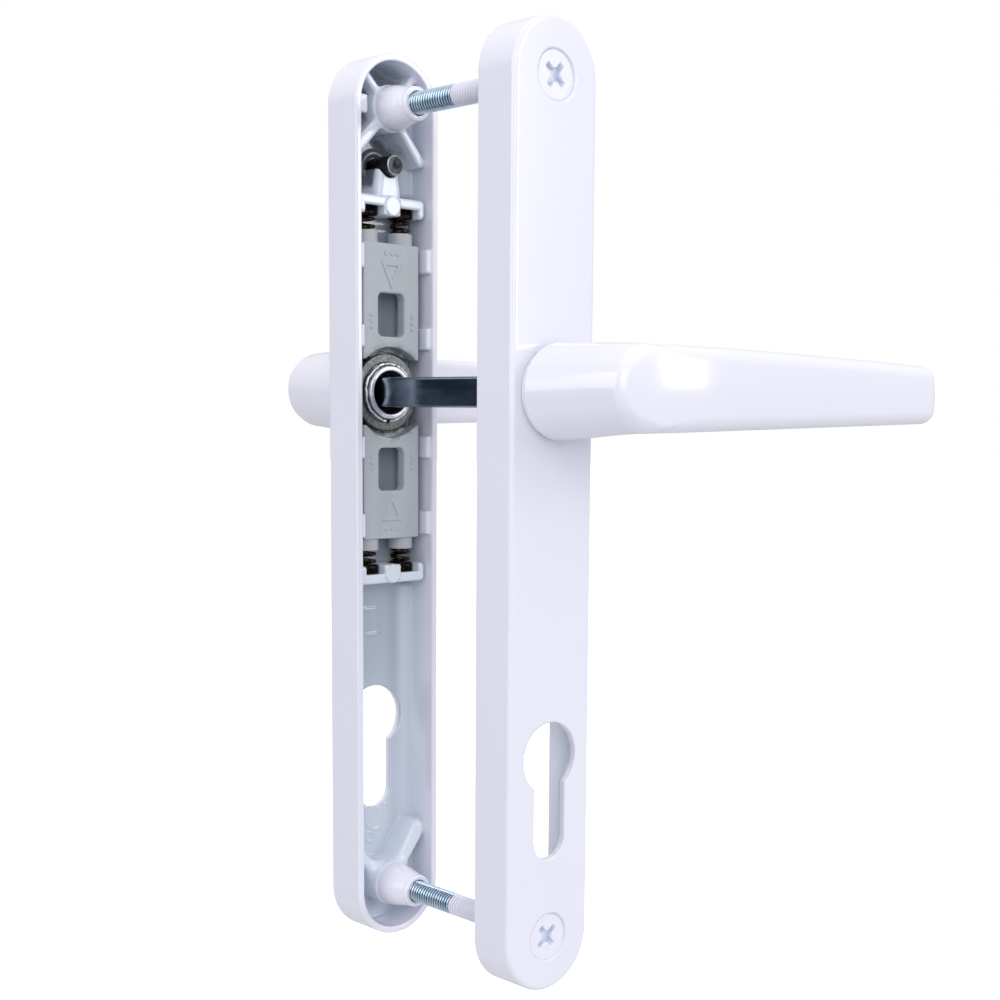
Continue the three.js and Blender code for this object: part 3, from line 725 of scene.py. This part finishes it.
# ---- Backplates ----
def boss_field(x, y, z, centre, nose, nose_r):
    """A screw boss: a drum in the tray that narrows to a nose standing out of it."""
    across = np.hypot(x, z - centre)
    taper = nose_r + (BOSS_R - nose_r) * smooth(y, nose, RIM + 1.5) + 0.4 * smooth(y, RIM + 2, RIM + 3)
    groove = 0.07 * np.exp(-((y - nose - 1.7) / 0.25) ** 2)
    return round_and(across - taper + groove, nose - y, 0.6)


def rib_field(x, y, z, centre, degrees, thickness, front, edge, length=RIB_REACH):
    """A web from a boss out to the wall, thicker at its root, with a round end where it is shorter."""
    c, s = math.cos(math.radians(degrees)), math.sin(math.radians(degrees))
    along, across = x * c + (z - centre) * s, (z - centre) * c - x * s
    half = thickness / 2 * (0.85 + 0.02 * along) + 0.04 * (y - front)
    web = round_and(np.hypot(across, np.maximum(along - length, 0)) - half, front - y, edge)
    return np.maximum(web, -along)


def shelf_field(x, y, z):
    """A cross wall of the cassette with two spring pockets, open to the front and to the hub."""
    middle = (SHELF_LOW + SHELF_HIGH) / 2
    away = np.abs(z)
    half_width, half_height = (SHELF_RIGHT - SHELF_LEFT) / 2, 2.4
    wall = rounded_box(x - (SHELF_RIGHT + SHELF_LEFT) / 2, away - middle, half_width, half_height, 1.1)
    wall = round_and(wall, SHELF_FRONT - y, 0.7)
    for pocket_x in (-PEG_X, PEG_X):
        channel = capsule(x - pocket_x, y, POCKET_R, 0, PEG_Y)
        pocket = np.maximum(channel, away - POCKET_FLOOR)
        wall = round_and(wall, -pocket, 0.4)
    across = np.hypot(x, away - middle)
    knob = round_and(across - KNOB_R, SHELF_FRONT - 0.25 - y, 0.2)
    ring = np.hypot(across - KNOB_GROOVE_R, y - SHELF_FRONT) - 0.22
    return round_and(round_or(wall, knob, 0.2), -ring, 0.1)


def lug_field(x, y, z):
    """Lugs on both side walls that keep the sliders in line."""
    lower, upper = (slab(np.abs(z), *band) for band in LUG_BANDS)
    reach = CAVITY_R - LUG_REACH - np.abs(x)
    return round_and(round_and(np.minimum(lower, upper), reach, 0.5), LUG_FRONT - y, 0.7)


def buttress_field(x, y, z):
    """The slab between the upper shelf and the stud."""
    half = BUTTRESS_HALF_WIDTH - 0.7 * smooth(z, 54, 60)
    block = round_and(np.abs(x) - half, BUTTRESS_FRONT - y, 2.0)
    block = np.maximum(block, slab(z, SHELF_HIGH - 1, STUD_Z - 1))
    return round_and(block, STUD_R + 0.35 - np.hypot(x, z - STUD_Z), 0.3)


def stud_collar(x, y, z):
    """The low ring that the casting has round the stud's root."""
    return np.hypot(np.hypot(x, z - STUD_Z) - COLLAR_R, y - FLOOR + 0.2) - COLLAR_BEAD_R


def floor_marks(x, y, z):
    """Shallow marks of the casting tool: a frame above the cut-out, and a U and a ring below it."""
    height = 0.13
    frame_mark = np.abs(rounded_box(x + 1.5, z + 64.5, 3.2, 3.6, 1.6)) - 0.3
    u_mark = np.maximum(np.abs(capsule(x, z, 3.4, SLOT_END - 3.2, SLOT_END + 4)) - 0.28, z - SLOT_END - 0.2)
    ring_mark = np.abs(np.hypot(x + 2, z + 127) - 1.4) - 0.22
    marks = np.minimum(np.minimum(u_mark, frame_mark), ring_mark)
    return round_and(marks, np.abs(y - FLOOR) - height, 0.1)


def cutout_field(x, z):
    """The cut-out for a euro cylinder: a round over a slot."""
    circle = np.hypot(x, z - CUTOUT_Z) - CUTOUT_R
    slot = capsule(x, z, SLOT_R, SLOT_END + SLOT_R, CUTOUT_Z)
    return np.minimum(circle, slot)


def plate_field(is_near):
    """A backplate. The near one has short bosses and countersinks, the far one long threaded noses."""
    nose, nose_r = (RIM + 2, NEAR_BOSS_R) if is_near else (NOSE, FAR_NOSE_R)
    fittings = [
        (TOP_SCREW - 14, TOP + 2, lambda x, y, z: top_boss(x, y, z, nose, nose_r)),
        (BOTTOM - 2, BOTTOM_SCREW + 20, lambda x, y, z: bottom_boss(x, y, z, nose, nose_r)),
        (SHELF_LOW - 4, SHELF_HIGH + 4, shelf_field),
        (-SHELF_HIGH - 4, -SHELF_LOW + 4, shelf_field),
        (-44, 44, lug_field),
        (50, 64, buttress_field),
        (STUD_Z - 6, STUD_Z + 6, stud_collar),
        (BOTTOM, -50, floor_marks),
    ]

    def field(x, y, z):
        outline = capsule(x, z, PLATE_R, BOTTOM + PLATE_R, TOP - PLATE_R)
        shell = round_and(round_and(outline, y - FACE, FACE_EDGE), RIM - y, RIM_EDGE)
        outside = smooth(np.abs(z), SHELF_HIGH, SHELF_HIGH + 3)
        floor = FLOOR - 0.27 * outside * soft_ramp(x - 5.5, 1.2)
        cavity = round_and(outline + WALL, y - floor, 0.6)
        made = round_and(shell, -cavity, RIM_EDGE)
        inner = np.maximum(outline + WALL / 2, y - FACE + 1)
        z_low, z_high = np.min(z), np.max(z)
        for low, high, fitting in fittings:
            if z_high > low and z_low < high:
                made = round_or(made, np.maximum(fitting(x, y, z), inner), 0.55)
        made = round_and(made, -cutout_field(x, z), 0.35)
        made = round_and(made, BUSH_R + 0.25 - np.hypot(x, z), 0.25)
        for centre in (TOP_SCREW, BOTTOM_SCREW):
            across = np.hypot(x, z - centre)
            hole = SCREW_R + 0.1 + 0 * y
            if is_near:
                cone = SCREW_HEAD_R + 0.12 - np.maximum(FACE - HEAD_RECESS - y, 0)
                made = round_and(made, np.maximum(hole, cone) - across, 0.3)
            else:
                made = round_and(made, np.minimum(hole - across, SCREW_TIP_Y + 1 - y), 0.15)
        return made

    return field


def top_boss(x, y, z, nose, nose_r):
    made = boss_field(x, y, z, TOP_SCREW, nose, nose_r)
    ribs = ((48, 1.9, RIB_REACH), (135, 2.0, RIB_REACH), (226, 2.9, RIB_REACH), (310, 2.3, 16.6))
    for degrees, thickness, length in ribs:
        made = round_or(made, rib_field(x, y, z, TOP_SCREW, degrees, thickness, 27, 0.8, length), 0.8)
    block = round_and(rounded_box(x + 10.6, z - TOP_SCREW, 2.1, 2.4, 0.5), 26 - y, 0.4)
    return round_or(made, block, 0.4)


def bottom_boss(x, y, z, nose, nose_r):
    made = boss_field(x, y, z, BOTTOM_SCREW, nose, nose_r)
    made = round_or(made, rib_field(x, y, z, BOTTOM_SCREW, 54, 4.4, 26.8, 1.9, 17.0), 2.2)
    made = round_or(made, rib_field(x, y, z, BOTTOM_SCREW, 136, 3.4, 29.4, 1.5), 3.0)
    return made


def backplate(label):
    is_near = label == "near"
    low, high = (-PLATE_R, RIM if is_near else NOSE, BOTTOM), (PLATE_R, FACE, TOP)
    name = f"{label}_backplate_cast"
    mesh = mesh_from_field(name, plate_field(is_near), low, high, 0.42)
    piece(name, mesh, "backplates", f"{label}_backplate", f"{label}_coat")


def stud(label):
    profile = [(0, STUD_FRONT), (STUD_R, STUD_FRONT), (STUD_R, STUD_BACK), (0, STUD_BACK)]
    mesh = turned_mesh(f"{label}_stud_pin", profile, (0, STUD_Z), 64, 0.45)
    piece(f"{label}_stud_pin", mesh, "backplates", f"{label}_stud", "dark_steel")


# ---- Levers ----
def lever_field(x, y, z):
    """A leaning, slightly tapering neck that turns into a flat grip, under one gently domed face."""
    out = y - FACE
    centre_z = 0.1 + 0.75 * smooth(out, 2, 24)
    neck_r = NECK_R - NECK_TAPER * (out - NECK_START)
    neck = np.hypot(x - NECK_LEAN * out, z - centre_z) - neck_r
    top = GRIP_TOP - 0.0001 * x * x - 0.4 * np.exp(-np.maximum(x - 2, 0) / 7)
    bottom = GRIP_BOTTOM + GRIP_BOTTOM_RISE * x
    tip = x - LEVER_END + z * z / 62 + (out - 29) ** 2 / 70
    grip = round_and(np.maximum(z - top, bottom - z), tip, 3.2)
    grip = np.maximum(round_and(grip, LEVER_BACK - out, 2.6), 3.2 - x)
    spread = np.clip(1 - ((z - centre_z) / 10.4) ** 2, 0.004, 1)
    body = round_or(neck, grip, 5.5 * spread)
    rise = np.clip((30 - x) / 33, 0, 1.4)
    across = z - 0.5 * (top + bottom)
    face = out - LEVER_OUT + 3.4 * rise ** 2 + 0.008 * np.maximum(x - 22, 0) + 0.008 * across ** 2
    edge = LEVER_EDGE + 1.5 * smooth(x, 0, 20) + 1.2 * smooth(np.abs(across), 4, 9) * smooth(x, 14, 2)
    return round_and(round_and(body, face, edge), NECK_START - out, 0.4)


def lever(label):
    low, high = (-12, FACE + NECK_START, -12), (LEVER_END, FACE + LEVER_OUT, 12)
    replaced = f"{label}_lever"
    shared_piece(label, "lever_grip", lever_field, low, high, 0.5, replaced, "powder_coat", flatten=False)


def journal(label):
    """The lever's tube through the backplate, with its round mouth and the start of the square socket."""
    def field(x, y, z):
        across = np.hypot(x, z)
        shoulder = (JOURNAL_ROOT_R - JOURNAL_R) * smooth(y, CAM_FRONT + 1.8, CAM_FRONT + 1.4)
        tube = round_and(across - JOURNAL_ROOT_R + shoulder, JOURNAL_FRONT - y, 0.5)
        tube = round_and(tube, y - FACE - NECK_START + 0.1, 0.2)
        mouth = np.maximum(across - JOURNAL_HOLE, y - JOURNAL_HOLE_END)
        socket = np.maximum(rounded_box(x, z, SOCKET_HALF, SOCKET_HALF, 0.4), y - FACE)
        return round_and(tube, -np.minimum(mouth, socket), 0.35)

    low, high = (-9, JOURNAL_FRONT, -9), (9, FACE + NECK_START, 9)
    shared_piece(label, "journal", field, low, high, 0.25, None, "journal_steel")


def retaining_ring(label):
    """A split ring, staked over unevenly."""
    def field(x, y, z):
        across, angle = np.hypot(x, z), np.arctan2(z, x)
        ragged = 0.1 * np.sin(7 * angle + 1) + 0.07 * np.sin(17 * angle) + 0.04 * np.sin(31 * angle + 2)
        outer = RING_R - 0.45 + 0.6 * ragged
        inner = JOURNAL_R + 0.18 + 0.5 * ragged
        front = RING_FRONT + 0.12 + ragged
        ring = round_and(slab(across, inner, outer), slab(y, front, RING_BACK), 0.32)
        turned_x = x * math.cos(0.12) - z * math.sin(0.12)
        gap = np.maximum(np.abs(turned_x - 0.6) - 0.5, z)
        return round_and(ring, -gap, 0.2)

    low, high = (-RING_R, RING_FRONT - 0.2, -RING_R), (RING_R, RING_BACK, RING_R)
    replaced = f"{label}_retaining_ring"
    shared_piece(label, "staked_ring", field, low, high, 0.16, replaced, "ring_steel", flatten=False)


def hub_cam(label):
    """A round disc over a block with two flats."""
    def field(x, y, z):
        across = np.hypot(x, z)
        disc = round_and(across - CAM_R, slab(y, CAM_FRONT, CAM_DISC_BACK), 0.35)
        flats = rounded_box(x, z, 6.2, 9.0, 1.0)
        collar = np.maximum(across - 9.5, np.abs(z) - 9)
        block = round_and(np.minimum(flats, collar), slab(y, CAM_FRONT + 1, CAM_BACK), 0.3)
        bore = np.where(y < CAM_DISC_BACK, 8.1, 8.8)
        return round_and(round_or(disc, block, 0.3), bore - across, 0.25)

    low, high = (-CAM_R, CAM_FRONT, -CAM_R), (CAM_R, CAM_BACK, CAM_R)
    shared_piece(label, "hub_cam", field, low, high, 0.28, f"{label}_cam", "sintered_steel")


def bearing_bush(label):
    """A sleeve with a thin flange that lies on the plate's face."""
    under = FACE + 0.05
    profile = [
        (BUSH_BORE, BUSH_FRONT), (BUSH_R, BUSH_FRONT), (BUSH_R, under), (BUSH_FLANGE_R, under),
        (BUSH_FLANGE_R, BUSH_BACK), (BUSH_BORE, BUSH_BACK),
    ]
    mesh = turned_mesh(f"{label}_bush_ring", profile, (0, 0), 128, 0.5, closed=True)
    piece(f"{label}_bush_ring", mesh, "bearing_bushes", f"{label}_bearing_bush", "nylon")


def spindle():
    """A square bar with drawn corners."""
    def field(x, y, z):
        return round_and(rounded_box(x, z, SPINDLE_HALF, SPINDLE_HALF, 0.75), np.abs(y) - SPINDLE_END, 0.6)

    reach = (SPINDLE_HALF, SPINDLE_END, SPINDLE_HALF)
    mesh = mesh_from_field("spindle_bar", field, tuple(-v for v in reach), reach, 0.3)
    piece("spindle_bar", mesh, "levers", "spindle", "spindle_zinc")


# ---- Cassette ----
def slider_field(x, y, z):
    """A moulded slider above the hub: face plate, deeper bearing layer, window and two spring pegs."""
    arc = np.hypot(x, z) - SLIDER_ARC
    half_height = (SLIDER_TOP - SLIDER_FOOT) / 2
    front = rounded_box(x, z - (SLIDER_FOOT + SLIDER_TOP) / 2, SLIDER_W, half_height, 0.4)
    front = round_and(round_and(front, -arc, 0.3), slab(y, SLIDER_FRONT, SLIDER_STEP), 0.3)
    deep_low = BEARING + 0.1
    deep = rounded_box(x, z - (deep_low + SLIDER_TOP) / 2, SLIDER_W, (SLIDER_TOP - deep_low) / 2, 0.4)
    deep = round_and(deep, slab(y, SLIDER_STEP - 0.5, SLIDER_BACK), 0.3)
    deep = round_and(deep, np.minimum(CAM_R + 0.5 - np.hypot(x, z), SLIDER_STEP - y), 0.15)
    made = np.minimum(front, deep)
    for x0 in (-PEG_X, PEG_X):
        across = np.hypot(x - x0, y - PEG_Y)
        peg = round_and(across - PEG_R + 0.05, slab(z, SLIDER_TOP - 1, PEG_TOP), 0.4)
        made = round_or(made, peg, 0.3)
        made = round_and(made, -np.maximum(across - PEG_BORE, SPRING_LOW - 0.3 - z), 0.15)
    middle, half_window = (WINDOW_LOW + WINDOW_HIGH) / 2, (WINDOW_HIGH - WINDOW_LOW) / 2
    made = round_and(made, -rounded_box(x, z - middle, WINDOW_HALF_WIDTH, half_window, 1.6), 0.5)
    hollow = rounded_box(x, z - middle, HOLLOW_HALF_WIDTH, half_window + 1.5, 1.0)
    made = round_and(made, -np.maximum(hollow, SLIDER_FRONT + 3 - y), 0.3)
    relief = round_and(slider_marks(x, z), np.abs(y - SLIDER_FRONT) - 0.33, 0.15)
    return round_or(made, relief, 0.15)


def slider_marks(x, z):
    """The outline of a triangle that points at the hub, and three dots over it and at each side."""
    half_width = 0.5 * (z - ARROW_POINT)
    triangle = np.maximum((np.abs(x) - 0.1 - half_width) * 0.9, z - ARROW_BASE)
    border = np.maximum(triangle, -triangle - 1.0)
    row = np.hypot(from_nearest_dot(x, 1.9), z - DOT_ROW_Z) - 0.55
    column = np.hypot(np.abs(x) - DOT_COLUMN_X, from_nearest_dot(z - WINDOW_LOW - 4, 1.7)) - 0.5
    return np.minimum(np.minimum(border, row), column)


def from_nearest_dot(u, pitch):
    """The distance along u to the nearest of three dots, the middle one at 0."""
    return u - pitch * np.clip(np.round(u / pitch), -1, 1)


def slider(label):
    low, high = (-SLIDER_W, SLIDER_FRONT - 0.3, SLIDER_FOOT), (SLIDER_W, SLIDER_BACK, PEG_TOP)
    cad_node = f"{label}_slider"
    shared_piece(label, "slider_moulding", slider_field, low, high, 0.22, cad_node, "acetal", body=cad_node)


def coil_rows(x0, z_from, z_to, z_start):
    """Rings of points along one stretch of a coil that starts at z_start."""
    turn_steps, around = 40, 12
    count = max(8, int(abs(z_to - z_from) / SPRING_PITCH * turn_steps))
    ring = np.arange(around) * 2 * math.pi / around
    rows = []
    for z in np.linspace(z_from, z_to, count):
        angle = (z - z_start) / SPRING_PITCH * 2 * math.pi
        out = np.array([math.cos(angle), math.sin(angle), 0])
        pitch_lean = SPRING_PITCH / (2 * math.pi * SPRING_R)
        along = np.array([-math.sin(angle), math.cos(angle), pitch_lean])
        up = np.cross(out, along / np.linalg.norm(along))
        centre = np.array([x0, PEG_Y, z]) + SPRING_R * out
        wire = np.cos(ring)[:, None] * out + np.sin(ring)[:, None] * up
        rows.append(centre + SPRING_WIRE * wire)
    return rows


def springs(label):
    """Each spring is made as two halves: the half at the shelf stays on the backplates, and the half at the
    slider rides on its own body.
    """
    sign = -1 if "lower" in label else 1
    low, high = SPRING_LOW + SPRING_WIRE, SPRING_HIGH - SPRING_WIRE
    middle = (low + high) / 2
    for number, x0 in enumerate((-PEG_X, PEG_X), 1):
        coil = f"{label}_coil_{number}"
        halves = (
            (f"{coil}_fixed", middle, high, "backplates", f"{label}_press_slide", high),
            (f"{coil}_moving", low, middle, f"{label}_springs", f"{label}_lift_slide", middle),
        )
        for name, z_from, z_to, body, joint, anchor in halves:
            mesh = facing_out(mesh_from_rows(name, coil_rows(x0, z_from, z_to, low)))
            replaced = f"{label}_spring_{number}" if body != "backplates" else None
            obj = piece(name, mesh, body, replaced, "spring_steel")
            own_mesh(obj)


# ---- Fixing screws ----
def screw_head_field(x, y, z, turn):
    """A countersunk head with a cross recess, its centre line on X = Z = 0."""
    across = np.hypot(x, z)
    depth = y - SCREW_HEAD_Y
    head = round_and(across - SCREW_HEAD_R + np.maximum(depth - 0.3, 0), -depth, 0.35)
    head = np.maximum(head, depth - SCREW_HEAD_DEPTH)
    c, s = math.cos(math.radians(turn)), math.sin(math.radians(turn))
    u, v = np.abs(x * c + z * s), np.abs(z * c - x * s)
    wing = DRIVE_LENGTH - 0.55 * depth
    half = DRIVE_HALF_WIDTH - 0.1 * depth
    cross = round_or(round_and(u - wing, v - half, 0.3), round_and(v - wing, u - half, 0.3), 1.1)
    return round_and(head, -np.maximum(cross, depth - DRIVE_DEPTH), 0.25)


def screw_thread_rows():
    """Rings of a 60 degree thread with flat crests, run out at its tip."""
    steps, fine = 48, 0.1 * COARSE
    angles = np.arange(steps) * 2 * math.pi / steps
    rows = []
    for y in np.arange(SCREW_HEAD_Y + SCREW_HEAD_DEPTH - 0.4, SCREW_TIP_Y, fine):
        phase = (y / THREAD_PITCH - angles / (2 * math.pi)) % 1
        tooth = np.clip(1.5 * (1 - np.abs(2 * phase - 1)) - 0.2, 0, 1)
        lead = min(1.0, (SCREW_TIP_Y - y) / 1.5)
        radius = (SCREW_R - THREAD_DEPTH + THREAD_DEPTH * tooth) * (0.75 + 0.25 * lead)
        rows.append(np.stack([radius * np.cos(angles), np.full(steps, y), radius * np.sin(angles)], 1))
    return rows


def fixing_screw(label, centre, turn):
    """turn is how far the driver recess stands from upright, in degrees."""
    head = mesh_from_field(
        f"{label}_screw_head", lambda x, y, z: screw_head_field(x, y, z, turn),
        (-SCREW_HEAD_R, SCREW_HEAD_Y - 0.2, -SCREW_HEAD_R),
        (SCREW_HEAD_R, SCREW_HEAD_Y + SCREW_HEAD_DEPTH, SCREW_HEAD_R), 0.16, flatten=False,
    )
    thread = facing_out(mesh_from_rows(f"{label}_screw_thread", screw_thread_rows()))
    for part in (head, thread):
        part.transform(Matrix.Translation((0, 0, centre * MM)))
    piece(f"{label}_screw_head", head, "backplates", None, "screw_paint")
    cad_node = f"{label}_fixing_screw"
    piece(f"{label}_screw_thread", thread, "backplates", cad_node, "screw_paint")


for label in ("near", "far"):
    for make in (backplate, stud, lever, journal, retaining_ring, hub_cam, bearing_bush):
        make(label)
    for unit in (f"{label}_upper", f"{label}_lower"):
        slider(unit)
        springs(unit)
spindle()
fixing_screw("top", TOP_SCREW, turn=51)
fixing_screw("bottom", BOTTOM_SCREW, turn=38)


# ---- Stage, in metres and degrees ----
CAMERA_PLACE = (-0.2641, -0.3066, -0.0062)
CAMERA_AZIMUTH, CAMERA_ELEVATION, CAMERA_ROLL = -46.24, 6.51, 0.8
LENS, LENS_SHIFT = 54.55, (-0.1, 0.091)
DARK_CORNER = (-0.72, 0.69, -0.11)
FLOOR_DROP, FLOOR_RADIUS = 0.1, 8.0


def floor():
    """A pale disc well below the object. It lights nothing, so the studio's own light stays even."""
    mesh = bpy.data.meshes.new("floor")
    height = cad_box[0][2] - FLOOR_DROP
    angles = np.linspace(0, 2 * math.pi, 65)[:-1]
    ring = [(FLOOR_RADIUS * math.cos(a), FLOOR_RADIUS * math.sin(a), height) for a in angles]
    mesh.from_pydata(ring, [], [tuple(range(len(ring)))])
    nodes = Nodes("studio_floor", (0.94, 0.94, 0.94), 0.9)
    nodes.color(nodes.mix(nodes.noise(3, 2.0), (0.93, 0.93, 0.93), (0.95, 0.95, 0.95)))
    nodes.shader.inputs["Emission Color"].default_value = (1, 1, 1, 1)
    nodes.shader.inputs["Emission Strength"].default_value = 0.5
    mesh.materials.append(nodes.material)
    obj = bpy.data.objects.new("floor", mesh)
    obj.visible_diffuse = obj.visible_glossy = False
    bpy.context.scene.collection.objects.link(obj)


def gradient(tree, direction, stops):
    """A colour by how nearly a ray agrees with the direction. Stops pair a cosine with a colour."""
    add, link = tree.nodes.new, tree.links.new
    place = add("ShaderNodeTexCoord")
    dot = add("ShaderNodeVectorMath")
    dot.operation = "DOT_PRODUCT"
    dot.inputs[1].default_value = Vector(direction).normalized()
    link(place.outputs["Generated"], dot.inputs[0])
    spread = add("ShaderNodeMapRange")
    spread.inputs["From Min"].default_value = -1
    link(dot.outputs["Value"], spread.inputs["Value"])
    ramp = add("ShaderNodeValToRGB")
    elements = ramp.color_ramp.elements
    while len(elements) < len(stops):
        elements.new(0.5)
    for element, (cosine, color) in zip(elements, stops):
        element.position = (cosine + 1) / 2
        element.color = (*color, 1)
    link(spread.outputs["Result"], ramp.inputs["Fac"])
    return ramp.outputs["Color"]


def world():
    """A white studio: brightest overhead, pale below, and dark beyond the far left corner."""
    made = bpy.data.worlds.new("studio")
    bpy.context.scene.world = made
    made.use_nodes = True
    tree = made.node_tree
    add, link = tree.nodes.new, tree.links.new
    height = gradient(tree, (0, 0, 1), (
        (-1.0, (0.85, 0.86, 0.88)),
        (-0.25, (0.62, 0.63, 0.65)),
        (0.0, (0.52, 0.52, 0.54)),
        (0.8, (1.1, 1.1, 1.1)),
    ))
    corner = gradient(tree, DARK_CORNER, (
        (-1.0, (1.0, 1.0, 1.0)),
        (0.85, (1.0, 1.0, 1.0)),
        (0.95, (0.1, 0.125, 0.16)),
        (1.0, (0.06, 0.08, 0.11)),
    ))
    light = add("ShaderNodeMix")
    light.data_type, light.blend_type = "RGBA", "MULTIPLY"
    light.inputs["Factor"].default_value = 1.0
    link(height, light.inputs[6])
    link(corner, light.inputs[7])
    lit = tree.nodes["Background"]
    lit.inputs["Strength"].default_value = 1.0
    link(light.outputs[2], lit.inputs["Color"])
    seen = add("ShaderNodeBackground")
    seen.inputs["Color"].default_value = (1, 1, 1, 1)
    path = add("ShaderNodeLightPath")
    mix = add("ShaderNodeMixShader")
    link(path.outputs["Is Camera Ray"], mix.inputs["Fac"])
    link(lit.outputs[0], mix.inputs[1])
    link(seen.outputs[0], mix.inputs[2])
    link(mix.outputs[0], tree.nodes["World Output"].inputs["Surface"])


def softbox(name, place, width, height, watts, diffuse=1.0, specular=1.0):
    """A soft rectangular light that faces the object's origin."""
    light = bpy.data.lights.new(name, "AREA")
    light.shape = "RECTANGLE"
    light.size, light.size_y, light.energy = width, height, watts
    light.diffuse_factor, light.specular_factor = diffuse, specular
    obj = bpy.data.objects.new(name, light)
    obj.location = place
    obj.rotation_euler = (-Vector(place)).to_track_quat("-Z", "Y").to_euler()
    obj.visible_camera = False
    bpy.context.scene.collection.objects.link(obj)


def camera():
    """Turned about Z by the azimuth, raised by the elevation, and then rolled."""
    azimuth, elevation, roll = (math.radians(a) for a in (CAMERA_AZIMUTH, CAMERA_ELEVATION, CAMERA_ROLL))
    back = Vector((
        math.sin(azimuth) * math.cos(elevation),
        -math.cos(azimuth) * math.cos(elevation),
        math.sin(elevation),
    ))
    level = Vector((-back.y, back.x, 0)).normalized()
    upright = back.cross(level)
    right = math.cos(roll) * level + math.sin(roll) * upright
    up = math.cos(roll) * upright - math.sin(roll) * level
    data = bpy.data.cameras.new("camera")
    data.sensor_width, data.lens = 36.0, LENS
    data.shift_x, data.shift_y = LENS_SHIFT
    data.clip_start, data.clip_end = 0.02, 50
    obj = bpy.data.objects.new("camera", data)
    turned = Matrix((right, up, back)).transposed().to_4x4()
    obj.matrix_world = Matrix.Translation(CAMERA_PLACE) @ turned
    bpy.context.scene.collection.objects.link(obj)
    bpy.context.scene.camera = obj


floor()
world()
camera()
softbox("key", (0.86, -1.23, 0.45), width=0.3, height=0.84, watts=4.9, diffuse=0.4)
softbox("front", (-0.9, -1.3, 0.55), width=1.2, height=1.2, watts=8.3, specular=0.0)
softbox("left", (-1.37, 0.375, 0.45), width=0.72, height=0.9, watts=4.5)

bpy.context.scene.view_settings.view_transform = "Standard"
